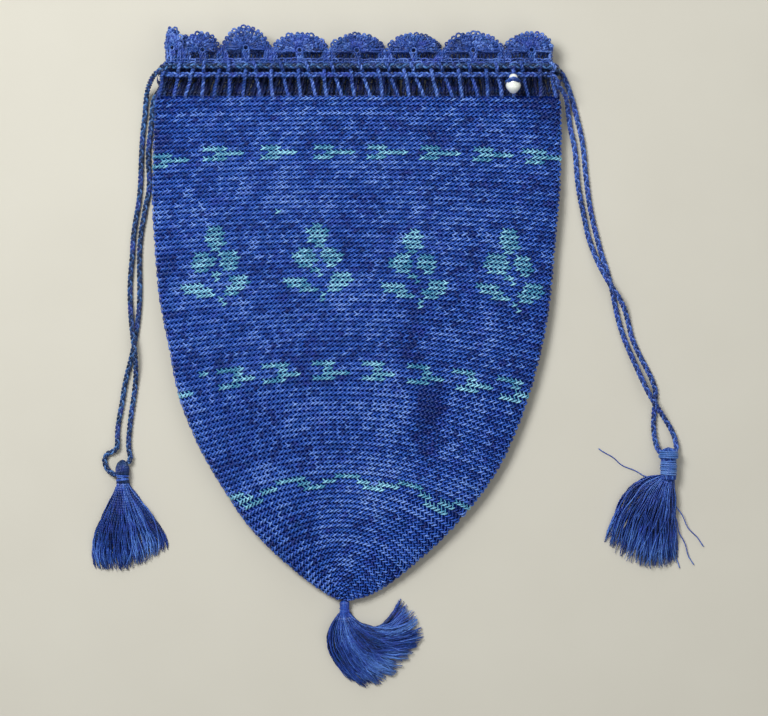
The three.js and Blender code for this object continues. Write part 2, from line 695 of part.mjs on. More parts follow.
// A staple through the bore, with its feet on the posts either side of the eyelet. Each
// point is a share of the way to a foot and a share of the staple's height.
const staple = [
  { out: 1, up: 0 }, { out: 1, up: 0.5 }, { out: 0.98, up: 0.76 },
  { out: 0.87, up: 0.95 }, { out: 0.6, up: 1 },
];

function beadThread() {
  const out = beadTop - beadBoreFromTop;
  const [y, top] = [
    beadPlace.y + out * Math.cos(beadTilt),
    beadPlace.z + out * Math.sin(beadTilt),
  ];
  const foot = bandFront + clearance;
  const post = bandFace / postsPerSide / 2;
  const half = staple.map((row) => [-post * row.out, foot + row.up * (top - foot)]);
  const whole = [...half, ...half.map(([x, z]) => [-x, z]).reverse()];
  return cordAlong(
    whole.map(([x, z]) => new THREE.Vector3(beadPlace.x + x, y, z)),
    beadThreadDiameter,
  );
}

// The model

const reticule = new THREE.Group();

function add(name, geometry, material) {
  const mesh = new THREE.Mesh(geometry, material);
  mesh.name = name;
  reticule.add(mesh);
  return mesh;
}

add("bag_body", bagBody(), silkBlue);
add("eyelet_band", eyeletBand(), laceBlue);
add("shell_edging", shellEdging(), laceBlue);
add("left_drawstring_run", drawstringRun(-1, upperCordRow, lowerCordRow), cordBlue);
add("right_drawstring_run", drawstringRun(1, lowerCordRow, upperCordRow), cordBlue);
for (const name of Object.keys(cordRoutes)) add(name, freeCord(name), cordBlue);
for (const name of Object.keys(tassels)) add(name, tasselSolid(name), tasselBlue);
const bead = add("white_bead", whiteBead(), beadWhite);
bead.position.copy(beadPlace);
bead.rotation.x = beadTilt;
add("bead_thread", beadThread(), cordBlue);

export default reticule;
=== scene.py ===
# The crocheted silk reticule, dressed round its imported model
import math

import bpy
import numpy as np
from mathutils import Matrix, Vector


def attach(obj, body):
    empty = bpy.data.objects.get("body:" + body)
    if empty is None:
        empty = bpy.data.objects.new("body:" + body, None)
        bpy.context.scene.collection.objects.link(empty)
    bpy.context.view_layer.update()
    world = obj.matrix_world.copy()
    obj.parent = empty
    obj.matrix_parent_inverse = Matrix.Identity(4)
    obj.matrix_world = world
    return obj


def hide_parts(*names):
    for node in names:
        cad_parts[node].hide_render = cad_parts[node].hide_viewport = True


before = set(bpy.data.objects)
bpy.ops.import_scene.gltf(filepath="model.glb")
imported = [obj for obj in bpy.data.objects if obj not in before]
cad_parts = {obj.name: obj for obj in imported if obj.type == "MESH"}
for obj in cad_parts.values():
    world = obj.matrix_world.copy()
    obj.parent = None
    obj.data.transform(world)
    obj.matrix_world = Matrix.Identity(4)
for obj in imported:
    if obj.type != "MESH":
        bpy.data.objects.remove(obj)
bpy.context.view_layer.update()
mm = 0.001
lowest = 0.03  # mm, how close any yarn comes to the table
chance = np.random.default_rng(1835)
up = np.array([0.0, 0.0, 1.0])
towardsMouth = np.array([0.0, 1.0, 0.0])


# Shader wires

class Wire:
    # a socket that can stand in a sum or a product

    def __init__(self, finish, socket):
        self.finish = finish
        self.socket = socket

    def __add__(self, other):
        return self.finish.maths("ADD", self, other)

    def __sub__(self, other):
        return self.finish.maths("SUBTRACT", self, other)

    def __rsub__(self, other):
        return self.finish.maths("SUBTRACT", other, self)

    def __mul__(self, other):
        return self.finish.maths("MULTIPLY", self, other)

    __radd__ = __add__
    __rmul__ = __mul__


class Finish:
    # one material and the nodes that are added to it

    def __init__(self, name):
        self.material = bpy.data.materials.new(name)
        self.material.use_nodes = True
        self.tree = self.material.node_tree
        self.tree.nodes.clear()

    def node(self, kind, settings, values, output=0):
        made = self.tree.nodes.new(kind)
        for key, value in settings.items():
            if key == "stops":
                self.setStops(made.color_ramp, value)
            else:
                setattr(made, key, value)
        for key, value in values.items():
            if isinstance(value, Wire):
                self.tree.links.new(value.socket, made.inputs[key])
            else:
                made.inputs[key].default_value = value
        return Wire(self, made.outputs[output])

    def setStops(self, ramp, stops):
        while len(ramp.elements) < len(stops):
            ramp.elements.new(1.0)
        for element, (place, colour) in zip(ramp.elements, stops):
            element.position = place
            element.color = colour

    def maths(self, operation, *values):
        return self.node("ShaderNodeMath", {"operation": operation}, dict(enumerate(values)))

    def clamped(self, value):
        return self.node("ShaderNodeMath", {"operation": "ADD", "use_clamp": True}, {0: value, 1: 0.0})

    def blend(self, share, first, second, mode="MIX"):
        # sockets 0, 6 and 7 are the factor and the two colours, output 2 the colour
        settings = {"data_type": "RGBA", "blend_type": mode}
        return self.node("ShaderNodeMix", settings, {0: share, 6: first, 7: second}, 2)

    def place(self):
        return self.node("ShaderNodeTexCoord", {}, {}, "Object")

    def noise(self, scale, detail=2.0, roughness=0.5):
        values = {"Vector": self.place(), "Scale": scale, "Detail": detail, "Roughness": roughness}
        return self.node("ShaderNodeTexNoise", {}, values)

    def value(self, name):
        return self.node("ShaderNodeAttribute", {"attribute_name": name}, {}, "Fac")

    def yarnPlace(self):
        # how far along the yarn, in millimetres, and how far round it, from 0 to 1
        uv = self.node("ShaderNodeUVMap", {"uv_map": "yarn"}, {})
        apart = {"Vector": uv}
        along = self.node("ShaderNodeSeparateXYZ", {}, apart, 0)
        around = self.node("ShaderNodeSeparateXYZ", {}, apart, 1)
        return along, around

    def bump(self, height, distance, strength=1.0):
        values = {"Height": height, "Distance": distance, "Strength": strength}
        return self.node("ShaderNodeBump", {}, values)

    def surface(self, values):
        shader = self.node("ShaderNodeBsdfPrincipled", {}, values)
        output = self.tree.nodes.new("ShaderNodeOutputMaterial")
        self.tree.links.new(shader.socket, output.inputs["Surface"])
        return self.material


silks = {
    "body": {
        "dark": (0.001, 0.014, 0.16, 1),
        "middle": (0.020, 0.118, 0.60, 1),
        "light": (0.260, 0.450, 0.96, 1),
        "patternDark": (0.048, 0.270, 0.47, 1),
        "patternLight": (0.370, 0.800, 1.00, 1),
    },
    "lace": {
        "dark": (0.001, 0.006, 0.06, 1),
        "middle": (0.012, 0.060, 0.33, 1),
        "light": (0.210, 0.380, 0.92, 1),
    },
    "leftCord": {
        "dark": (0.001, 0.006, 0.025, 1),
        "middle": (0.006, 0.032, 0.13, 1),
        "light": (0.090, 0.260, 0.62, 1),
    },
    "rightCord": {
        "dark": (0.003, 0.011, 0.07, 1),
        "middle": (0.018, 0.066, 0.33, 1),
        "light": (0.130, 0.270, 0.78, 1),
    },
    "tassel": {
        "dark": (0.001, 0.007, 0.06, 1),
        "middle": (0.015, 0.066, 0.40, 1),
        "light": (0.150, 0.340, 0.88, 1),
        "tip": 20.0,  # mm from the neck to where the threads turn paler
    },
    "paleNeck": {
        "dark": (0.020, 0.070, 0.24, 1),
        "middle": (0.060, 0.160, 0.48, 1),
        "light": (0.170, 0.330, 0.72, 1),
    },
}

# What every silk has: where it stands on its ramp, and how far each cause moves it there
silkLook = {
    "level": 0.42,
    "byShade": 0.3,
    "byPatches": 0.8,
    "byFlecks": 0.6,
    "byTip": 0.3,
    "patchScale": 70.0,
    "fleckScale": 1500.0,
    "tipFade": 0.1,  # part of the way that one millimetre past the tip's start brings
    "violet": {"scale": 240.0, "above": 0.52, "share": 0.45, "colour": (0.040, 0.060, 0.50, 1)},
    "green": {"scale": 310.0, "below": 0.46, "share": 0.35, "colour": (0.012, 0.120, 0.36, 1)},
    "castEdge": 4.0,  # how sharply a cast patch ends
    "plyPitch": 0.9,  # mm from one ply to the next
    "plyTurns": 2.0,
    "plyDepth": 0.05,  # mm
    # how far painted shade darkens the hollows between plies, and the colour that it multiplies in
    "plyHollowShade": 0.45,
    "plyShadeColour": (0.35, 0.35, 0.45, 1),
}


# Twisted silk: a ramp read at each strand's own shade, cast patches of violet and green,
# and plies worked out as sin(2 pi (along / pitch + turns around)), with painted shade in the hollows
# between plies.
def silkFinish(name, colours, roughness=0.42):
    f = Finish(name)
    look = silkLook
    patches = f.noise(look["patchScale"], 3.0) - 0.5
    flecks = f.noise(look["fleckScale"], 1.0) - 0.5
    along, around = f.yarnPlace()
    turns = (along * (1 / look["plyPitch"]) + around * look["plyTurns"]) * (2 * math.pi)
    plies = f.maths("SINE", turns) * 0.5 + 0.5
    level = look["level"] + f.value("shade") * look["byShade"]
    level = level + patches * look["byPatches"] + flecks * look["byFlecks"]
    if "tip" in colours:
        level = level + f.clamped((along - colours["tip"]) * look["tipFade"]) * look["byTip"]
    level = f.clamped(level)
    stops = [(0.0, colours["dark"]), (0.5, colours["middle"]), (1.0, colours["light"])]
    colour = f.node("ShaderNodeValToRGB", {"stops": stops}, {"Fac": level})
    violet = look["violet"]
    green = look["green"]
    violetShare = f.clamped((f.noise(violet["scale"]) - violet["above"]) * look["castEdge"])
    greenShare = f.clamped((green["below"] - f.noise(green["scale"])) * look["castEdge"])
    colour = f.blend(violetShare * violet["share"], colour, violet["colour"])
    colour = f.blend(greenShare * green["share"], colour, green["colour"])
    if "patternDark" in colours:
        stops = [(0.15, colours["patternDark"]), (0.85, colours["patternLight"])]
        pattern = f.node("ShaderNodeValToRGB", {"stops": stops}, {"Fac": level})
        colour = f.blend(f.value("pattern"), colour, pattern)
    # painted shade: the hollows between the plies are darkened in the colour
    colour = f.blend((1.0 - plies) * look["plyHollowShade"], colour, look["plyShadeColour"], "MULTIPLY")
    return f.surface({
        "Base Color": colour,
        "Roughness": roughness + flecks * 0.2,
        "Normal": f.bump(plies, look["plyDepth"] * mm),
        "Specular IOR Level": 0.6,
        "Specular Tint": (0.75, 0.84, 1.0, 1),
        "Sheen Weight": 0.08,
        "Sheen Roughness": 0.4,
        "Sheen Tint": (0.45, 0.6, 1.0, 1),
    })


# The ground's colours: navy silk darkened to painted shade, since it shows only in the gaps between the
# stitches
groundShadeLook = {
    "dark": (0.0005, 0.006, 0.07, 1),
    "light": (0.0015, 0.016, 0.14, 1),
    "stitchWide": 1.75,  # mm
    "rowTall": 1.757,
    "knitDepth": 0.3,
    "patchScale": 90.0,
}


# The bag's ground behind the stitches, its navy darkened to painted shade for the gaps between stitches:
# rows and stitches as one sine across the other.
def shadedGroundFinish():
    f = Finish("silk_ground_painted_shade")
    aside, down = f.yarnPlace()
    stitches = f.maths("SINE", aside * (2 * math.pi / groundShadeLook["stitchWide"]))
    rows = f.maths("SINE", down * (2 * math.pi / groundShadeLook["rowTall"]))
    knit = stitches * rows * 0.5 + 0.5
    patches = f.noise(groundShadeLook["patchScale"], 3.0)
    share = f.clamped(knit * 0.6 + patches * 0.4)
    return f.surface({
        "Base Color": f.blend(share, groundShadeLook["dark"], groundShadeLook["light"]),
        "Roughness": 0.8 + (patches - 0.5) * 0.2,
        "Normal": f.bump(knit, groundShadeLook["knitDepth"] * mm),
        "Specular IOR Level": 0.05,
    })


def beadFinish():
    f = Finish("bead_white_glass")
    clouds = f.noise(500.0, 2.0)
    return f.surface({
        "Base Color": f.blend(clouds, (0.62, 0.65, 0.60, 1), (0.80, 0.82, 0.78, 1)),
        "Roughness": 0.08 + clouds * 0.08,
        "Coat Weight": 0.6,
        "Coat Roughness": 0.05,
        "Subsurface Weight": 0.15,
        "Subsurface Radius": (0.002, 0.002, 0.002),
    })


def floorFinish():
    f = Finish("pale_table")
    grain = f.noise(25.0, 3.0)
    return f.surface({
        "Base Color": f.blend(grain, (0.495, 0.478, 0.415, 1), (0.53, 0.515, 0.450, 1)),
        "Roughness": 0.9,
        "Specular IOR Level": 0.1,
    })


# Mesh tools

def unit(vectors):
    return vectors / np.maximum(np.linalg.norm(vectors, axis=-1, keepdims=True), 1e-9)


# Directions beside each path and over it, from a vector that points out of it.
def directions(paths, over, closed=False):
    if closed:
        ahead = unit(np.roll(paths, -1, axis=1) - np.roll(paths, 1, axis=1))
    else:
        ahead = unit(np.gradient(paths, axis=1))
    beside = unit(np.cross(np.broadcast_to(over, paths.shape), ahead))
    return beside, np.cross(ahead, beside)


def lengthAlong(paths):
    steps = np.linalg.norm(np.diff(paths, axis=1), axis=2)
    return np.concatenate([np.zeros((len(paths), 1)), np.cumsum(steps, axis=1)], axis=1)


# Hand work is never even: slow sines with their own phases, in mm.
def uneven(paths, amount, waves=1.3):
    t = np.linspace(0, 1, paths.shape[1])[None, :, None]
    phase = chance.uniform(0, 2 * math.pi, (len(paths), 1, 3))
    pace = chance.uniform(0.5, 1.5, (len(paths), 1, 3)) * waves
    return paths + amount * np.sin(2 * math.pi * pace * t + phase)


# One strand of a twist: path + radius (cos turn beside + sin turn over).
def twistedStrand(paths, radius, pitch, phase, over):
    beside, above = directions(paths, over)
    turn = (2 * math.pi * (lengthAlong(paths) / pitch + phase))[..., None]
    reach = np.broadcast_to(radius, paths.shape[:2])[..., None]
    return paths + reach * (np.cos(turn) * beside + np.sin(turn) * above)


# Three strands plaited flat: path + wide sin(turn) beside + thick sin(2 turn) over.
def plaited(path, plait, over=up):
    paths = path[None]
    beside, above = directions(paths, over)
    along = lengthAlong(paths)
    laid = []
    for strand in range(3):
        turn = (2 * math.pi * (along / plait["period"] + strand / 3))[..., None]
        sway = plait["wide"] * np.sin(turn) * beside
        laid.append(paths + sway + plait["thick"] * np.sin(2 * turn) * above)
    return np.concatenate(laid)


# A cubic from one value to the next for t from 0 to 1, with the slope at both.
def cubic(t, start, startSlope, end, endSlope):
    return (
        (2 * t**3 - 3 * t**2 + 1) * start + (t**3 - 2 * t**2 + t) * startSlope
        + (3 * t**2 - 2 * t**3) * end + (t**3 - t**2) * endSlope
    )


# A smooth way through given points: a cubic between each two, read at even steps.
def smoothPath(points, step):
    points = np.array(points, float)
    far = lengthAlong(points[None])[0]
    slopes = np.gradient(points, far, axis=0)
    at = np.linspace(0, far[-1], int(far[-1] / step) + 1)
    row = np.clip(np.searchsorted(far, at, side="right") - 1, 0, len(far) - 2)
    span = (far[row + 1] - far[row])[:, None]
    t = (at - far[row])[:, None] / span
    return cubic(t, points[row], span * slopes[row], points[row + 1], span * slopes[row + 1])


# As many even steps along a smooth way through the points.
def evenSteps(points, count):
    fine = smoothPath(points, 0.12)
    far = lengthAlong(fine[None])[0]
    at = np.linspace(0, far[-1], count)
    return np.stack([np.interp(at, far, fine[:, axis]) for axis in range(3)], axis=-1)


def addObject(name, data):
    made = bpy.data.objects.new(name, data)
    bpy.context.scene.collection.objects.link(made)
    return made


class Bundle:
    # gathers tubes and closed sheets into one mesh, in millimetres

    def __init__(self):
        self.points = []
        self.faces = {}
        self.values = {}
        self.count = 0

    # faces is a list of pairs: corner numbers (n, k) and their yarn places (n, k, 2)
    def add(self, points, faces, values):
        for corners, places in faces:
            self.faces.setdefault(corners.shape[1], []).append((corners + self.count, places))
        for name in ("shade", "pattern"):
            given = np.broadcast_to(values.get(name, 0.0), (len(points),))
            self.values.setdefault(name, []).append(given)
        self.points.append(points)
        self.count += len(points)

    # Rings of corners round each path: path + radius (cos turn beside + sin turn over).
    def tubes(self, paths, radii, sides, over=up, closed=False, shade=0.0, pattern=0.0, capped=True):
        count, steps = paths.shape[:2]
        beside, above = directions(paths, over, closed)
        turn = 2 * math.pi * np.arange(sides) / sides
        spokes = beside[:, :, None] * np.cos(turn)[:, None] + above[:, :, None] * np.sin(turn)[:, None]
        reach = np.broadcast_to(radii, (count, steps))[:, :, None, None]
        points = (paths[:, :, None] + reach * spokes).reshape(-1, 3)
        corner = np.arange(count * steps * sides).reshape(count, steps, sides)
        beyond = np.roll(corner, -1, axis=2)
        along = lengthAlong(paths)
        if closed:
            first, last = np.arange(steps), (np.arange(steps) + 1) % steps
            along = np.concatenate([along, along[:, -1:] + along[:, 1:2]], axis=1)
        else:
            first, last = np.arange(steps - 1), np.arange(1, steps)
        quads = np.stack([corner[:, first], beyond[:, first], beyond[:, last], corner[:, last]], axis=-1)
        near = np.broadcast_to(along[:, first][:, :, None], quads.shape[:3])
        far = np.broadcast_to(along[:, first + 1][:, :, None], quads.shape[:3])
        round0 = np.broadcast_to(np.arange(sides) / sides, quads.shape[:3])
        round1 = round0 + 1 / sides
        places = np.stack([
            np.stack([near, round0], -1), np.stack([near, round1], -1),
            np.stack([far, round1], -1), np.stack([far, round0], -1),
        ], axis=-2)
        faces = [(quads.reshape(-1, 4), places.reshape(-1, 4, 2))]
        if capped and not closed:
            ends = np.concatenate([corner[:, 0, ::-1], corner[:, -1]])
            faces.append((ends, np.zeros((*ends.shape, 2))))
        each = steps * sides
        values = {
            "shade": np.repeat(np.broadcast_to(shade, (count,)), each),
            "pattern": np.repeat(np.broadcast_to(pattern, (count,)), each),
        }
        self.add(points, faces, values)

    # A sheet over rings of corners, closed by a fan at its first and at its last ring.
    def closedSheet(self, rings, shade=0.0):
        rows, columns = rings.shape[:2]
        corner = np.arange(rows * columns).reshape(rows, columns)
        beyond = np.roll(corner, -1, axis=1)
        quads = np.stack([corner[:-1], beyond[:-1], beyond[1:], corner[1:]], axis=-1).reshape(-1, 4)
        aside = lengthAlong(rings)
        down = lengthAlong(rings.transpose(1, 0, 2)).T
        places = np.stack([aside.ravel(), down.ravel()], axis=-1)[quads]
        first, last = corner[0] + self.count, corner[-1] + self.count
        self.add(rings.reshape(-1, 3), [(quads, places)], {"shade": shade})
        self.fan(np.roll(first, -1), first, rings[0].mean(axis=0))
        self.fan(last, np.roll(last, -1), rings[-1].mean(axis=0))

    def fan(self, ring, beyond, hub):
        # triangles from each corner of a ring to the next and to one new point
        faces = np.stack([ring, beyond, np.full(len(ring), self.count)], axis=1) - self.count
        self.add(hub[None], [(faces, np.zeros((len(ring), 3, 2)))], {})

    def piece(self, name, material, slot, replaces=()):
        groups = [group for kind in sorted(self.faces) for group in self.faces[kind]]
        corners = np.concatenate([faces.ravel() for faces, _ in groups])
        places = np.concatenate([places.reshape(-1, 2) for _, places in groups])
        sizes = np.concatenate([np.full(len(faces), faces.shape[1]) for faces, _ in groups])
        starts = np.concatenate([[0], np.cumsum(sizes)[:-1]])
        points = np.concatenate(self.points)
        points[:, 2] = np.maximum(points[:, 2], lowest)
        points = points * mm
        mesh = bpy.data.meshes.new(name)
        mesh.vertices.add(len(points))
        mesh.vertices.foreach_set("co", points.astype(np.float32).ravel())
        mesh.loops.add(len(corners))
        mesh.loops.foreach_set("vertex_index", corners.astype(np.int32))
        mesh.polygons.add(len(sizes))
        mesh.polygons.foreach_set("loop_start", starts.astype(np.int32))
        mesh.polygons.foreach_set("use_smooth", np.ones(len(sizes), bool))
        mesh.uv_layers.new(name="yarn").uv.foreach_set("vector", places.astype(np.float32).ravel())
        for key, parts in self.values.items():
            attribute = mesh.attributes.new(key, "FLOAT", "POINT")
            attribute.data.foreach_set("value", np.concatenate(parts).astype(np.float32))
        mesh.update(calc_edges=True)
        mesh.validate()
        mesh.materials.append(material)
        made = addObject(name, mesh)
        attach(made, "root")
        if replaces:
            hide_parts(*replaces)
        print(name, int(np.sum(sizes - 2)), "triangles")
        return made


# Camera, light and table

studio = {
    "frameWide": 276.5,  # mm across the picture
    "lookAt": (9.9, 0.4, 4.0),
    "lens": 135.0,
    "sensor": 36.0,
    "clip": (0.05, 20.0),  # metres
    "key": {"place": (-300, 320, 700), "size": 330, "power": 7.2},
    "fill": {"place": (460, -240, 700), "size": 700, "power": 1.6},
    "back": {"place": (60, 760, 380), "size": 400, "power": 1.2},
    "sky": 0.25,
    "skyColour": (1.0, 0.99, 0.97, 1),
    "tableReach": 2500.0,
    "tableDrop": 0.1,  # mm under the frame's zero
}


def makeCamera():
    data = bpy.data.cameras.new("camera")
    data.lens = studio["lens"]
    data.sensor_width = studio["sensor"]
    data.clip_start, data.clip_end = studio["clip"]
    camera = addObject("camera", data)
    x, y, z = studio["lookAt"]
    away = studio["frameWide"] * studio["lens"] / studio["sensor"]
    camera.location = (x * mm, y * mm, (z + away) * mm)
    bpy.context.scene.camera = camera


def makeLight(name, facts):
    data = bpy.data.lights.new(name, "AREA")
    data.size = facts["size"] * mm
    data.energy = facts["power"]
    light = addObject(name, data)
    place = np.array(facts["place"], float) * mm
    light.location = place
    light.rotation_mode = "QUATERNION"
    light.rotation_quaternion = Vector(-place).to_track_quat("-Z", "Y")


def makeStudio():
    for name in ("key", "fill", "back"):
        makeLight(name, studio[name])
    world = bpy.data.worlds.new("studio")
    world.use_nodes = True
    sky = world.node_tree.nodes["Background"].inputs
    sky["Color"].default_value = studio["skyColour"]
    sky["Strength"].default_value = studio["sky"]
    bpy.context.scene.world = world
    bpy.context.scene.view_settings.view_transform = "Standard"
    reach = studio["tableReach"] * mm
    low = -studio["tableDrop"] * mm
    corners = [(-reach, -reach, low), (reach, -reach, low), (reach, reach, low), (-reach, reach, low)]
    mesh = bpy.data.meshes.new("table")
    mesh.from_pydata(corners, [], [(0, 1, 2, 3)])
    mesh.materials.append(floorFinish())
    addObject("table", mesh)


makeCamera()
makeStudio()
print("camera and light")

bodySilk = silkFinish("silk_body_royal", silks["body"])
laceSilk = silkFinish("silk_lace_royal", silks["lace"])
leftCordSilk = silkFinish("silk_cord_teal", silks["leftCord"])
rightCordSilk = silkFinish("silk_cord_royal", silks["rightCord"])
tasselSilk = silkFinish("silk_tassel_bright", silks["tassel"], 0.36)
neckSilk = silkFinish("silk_neck_pale", silks["paleNeck"], 0.4)

# Free cords

cords = {
    "diameter": 2.2,
    # the three strands' shades are partly their own tones and partly painted shade: the darkest strand
    # stands for the shade in the plait's gaps
    "plait": {"period": 4.75, "wide": 0.64, "thick": 0.4, "strand": 0.42, "shades": [-1.0, 0.1, 0.9]},
    "step": 0.6,
    "sides": 5,
    "routes": {
        "left_cord_front": [
            (-66.1, 104.75, 11.7), (-67.6, 104.6, 12.2), (-69.5, 103.4, 13.2), (-71.4, 102.2, 12.6),
            (-73.0, 100.6, 10.4), (-74.1, 99.0, 7.6), (-75.0, 97.2, 4.8), (-75.7, 95.0, 2.6),
            (-76.1, 92.4, 1.4), (-76.4, 88.2, 1.1), (-77.0, 83.2, 1.1), (-77.5, 77.0, 1.1),
            (-77.8, 70.2, 1.1), (-78.0, 63.4, 1.1), (-78.6, 56.9, 1.1), (-79.7, 50.4, 1.1),
            (-80.6, 43.9, 1.1), (-81.0, 37.1, 1.1), (-81.6, 30.2, 1.1), (-81.8, 24.1, 1.1),
            (-81.6, 18.4, 1.4), (-81.2, 13.3, 2.4), (-80.6, 8.6, 3.5), (-80.1, 4.3, 3.9),
            (-79.7, 0.0, 3.5), (-79.6, -4.3, 2.3), (-79.9, -9.4, 1.2), (-80.6, -14.8, 1.1),
            (-81.4, -20.2, 1.1), (-82.0, -25.6, 1.1), (-82.3, -29.5, 1.2), (-82.1, -33.2, 1.7),
            (-81.6, -35.7, 2.1), (-82.4, -37.6, 2.4),
        ],
        "left_cord_back": [
            (-66.9, 101.7, 1.7), (-68.2, 101.5, 1.7), (-69.8, 98.7, 1.5), (-71.4, 96.6, 1.2),
            (-72.6, 94.8, 1.1), (-73.4, 92.8, 1.1), (-73.8, 89.6, 1.1), (-74.1, 85.8, 1.1),
            (-74.6, 80.6, 1.1), (-75.1, 75.8, 1.1), (-75.2, 71.1, 1.1), (-74.9, 66.4, 1.1),
            (-75.1, 60.2, 1.1), (-76.1, 55.6, 1.1), (-76.9, 50.9, 1.1), (-77.7, 46.3, 1.1),
            (-78.2, 41.7, 1.1), (-78.4, 37.0, 1.1), (-78.4, 31.7, 1.1), (-78.3, 26.3, 1.1),
            (-78.4, 20.9, 1.1), (-78.8, 15.5, 1.1), (-79.5, 10.1, 1.1), (-80.4, 4.7, 1.1),
            (-81.6, -0.7, 1.1), (-82.9, -5.8, 1.1), (-83.8, -10.1, 1.1), (-84.6, -15.5, 1.1),
            (-85.6, -20.9, 1.1), (-86.3, -26.3, 1.2), (-86.3, -30.2, 1.8), (-86.6, -32.3, 2.0),
            (-88.2, -33.4, 1.5), (-90.0, -34.3, 1.2), (-90.9, -36.0, 1.1), (-90.6, -38.4, 1.3),
            (-89.2, -40.5, 1.8), (-88.2, -41.2, 2.0), (-87.0, -41.7, 2.3),
        ],
        "right_cord_front": [
            (68.5, 101.7, 11.5), (70.0, 101.4, 11.6), (71.4, 99.9, 11.4), (72.6, 97.4, 10.5),
            (74.2, 95.7, 8.3), (75.3, 93.9, 5.8), (75.9, 91.9, 3.3), (76.3, 89.4, 1.6),
            (76.7, 86.4, 1.1), (77.3, 82.6, 1.1), (78.3, 78.2, 1.1), (79.0, 73.4, 1.1),
            (79.4, 68.4, 1.1), (79.9, 63.0, 1.1), (80.8, 57.6, 1.1), (82.2, 50.8, 1.1),
            (83.6, 44.3, 1.1), (85.3, 39.2, 1.3), (87.4, 34.2, 2.4), (89.8, 29.5, 3.5),
            (92.2, 25.6, 3.8), (94.7, 21.9, 3.5), (96.6, 18.0, 2.3), (98.0, 13.4, 1.2),
            (99.2, 8.3, 1.1), (101.4, 2.9, 1.1), (104.0, -2.2, 1.1), (106.4, -7.0, 1.1),
            (107.8, -11.2, 1.1), (107.8, -14.8, 1.1), (107.4, -19.4, 1.1), (107.2, -24.1, 1.1),
            (107.6, -28.6, 1.5), (108.4, -31.9, 2.2), (109.7, -34.0, 3.0),
        ],
        "right_cord_back": [
            (67.75, 104.8, 1.9), (69.8, 104.8, 1.9), (71.9, 104.5, 1.7), (73.7, 103.4, 1.4),
            (75.0, 101.4, 1.1), (76.0, 98.9, 1.1), (77.0, 96.2, 1.1), (77.9, 93.4, 1.1),
            (78.7, 90.3, 1.1), (79.6, 86.6, 1.1), (80.6, 82.6, 1.1), (81.5, 78.2, 1.1),
            (82.1, 73.4, 1.1), (82.5, 68.4, 1.1), (83.2, 62.3, 1.1), (84.0, 56.2, 1.1),
            (85.3, 49.7, 1.1), (86.8, 43.6, 1.1), (88.4, 37.8, 1.1), (90.2, 32.4, 1.1),
            (91.4, 28.1, 1.1), (92.4, 24.1, 1.1), (93.2, 19.8, 1.1), (94.4, 14.4, 1.1),
            (96.0, 9.0, 1.1), (98.1, 3.6, 1.3), (100.6, -2.2, 2.3), (103.1, -7.9, 3.4),
            (105.4, -12.6, 4.0), (108.0, -16.9, 3.8), (110.9, -21.2, 2.3), (113.6, -25.6, 1.3),
            (115.0, -29.4, 1.8), (115.2, -32.4, 2.5), (114.2, -34.6, 3.1),
        ],
    },
}


def plaitBundle(path, over=up):
    bundle = Bundle()
    plait = cords["plait"]
    strands = plaited(path, plait, over)
    bundle.tubes(strands, plait["strand"], cords["sides"], over, shade=np.array(plait["shades"]))
    return bundle


cordPaths = {}
for cordName, route in cords["routes"].items():
    path = smoothPath(route, cords["step"])
    finish = leftCordSilk if cordName.startswith("left") else rightCordSilk
    plaitBundle(path).piece("plaited_" + cordName, finish, "silk_cord", [cordName])
    cordPaths[cordName] = path
print("free cords")


def declareCord(cordName):
    path = cordPaths[cordName]
    tuple(path[0] * mm)
    path * mm


# The bag's form, as its solid has it

bag = {
    "length": 181.0,
    "width": 147.4,
    "thickness": 10.4,
    "wall": 1.2,
    "mouth": 94.3,  # above the origin
    "mouthLift": 2.6,
    "foldHeight": 0.42,
    "flatShare": 0.8,
    "yarnDepth": 0.3,  # the stitches' middle, under the solid's surface
    "groundDepth": 0.72,
    "gridRows": 200,
    "gridCrowding": 1.6,
    "gridColumns": 256,
    "fineSteps": 241,
    "groundRows": 90,
    "insideRows": 50,
    "groundColumns": 120,
}

# Shares of the length, of half the width, of the thickness and of the lift
sections = {
    "along": [0, .05, .1, .2, .3, .4, .5, .6, .7, .78, .85, .9, .94, .97, .99, 1],
    "half": [.991, .998, 1, .998, .98, .958, .913, .854, .756, .641, .512, .393, .281, .185, .105, .034],
    "centre": [
        .007, .006, .004, -.003, -.008, -.008, -.005, -.013,
        -.01, -.01, -.022, -.027, -.029, -.03, -.036, -.054,
    ],
    "thick": [.673, .84, .94, .99, 1, 1, 1, 1, .97, .93, .85, .76, .66, .55, .46, .36],
    "lift": [1, .3, 0, 0, 0, 0, 0, 0, 0, 0, 0, 0, 0, 0, 0, 0],
    "round": [12, 8, 6, 4.6, 4.2, 4, 4, 3.8, 3.6, 3.4, 3.2, 3, 2.8, 2.6, 2.4, 2.2],
}

dents = {
    "along": [.62, .76, .1, .1, .58, .6],
    "across": [.34, .42, .5, -.8, -.62, .08],
    "reachAlong": [.13, .08, .13, .07, .1, .08],
    "reachAcross": [.1, .12, .07, .12, .16, .12],
    "turn": [12, 30, 0, 0, 0, 0],
    "depth": [.085, .05, .05, .045, -.035, -.035],
}


# A column of the sections between its rows, on a cubic through the rows with each row's
# slope taken over its two neighbours.
def readSection(column, along):
    xs = np.array(sections["along"], float)
    ys = np.array(sections[column], float)
    row = np.clip(np.searchsorted(xs, along, side="left") - 1, 0, len(xs) - 2)
    before, after = np.maximum(row - 1, 0), np.minimum(row + 2, len(xs) - 1)
    span = xs[row + 1] - xs[row]
    t = np.clip((along - xs[row]) / span, 0, 1)
    slope0 = (ys[row + 1] - ys[before]) / (xs[row + 1] - xs[before]) * span
    slope1 = (ys[after] - ys[row]) / (xs[after] - xs[row]) * span
    return cubic(t, ys[row], slope0, ys[row + 1], slope1)


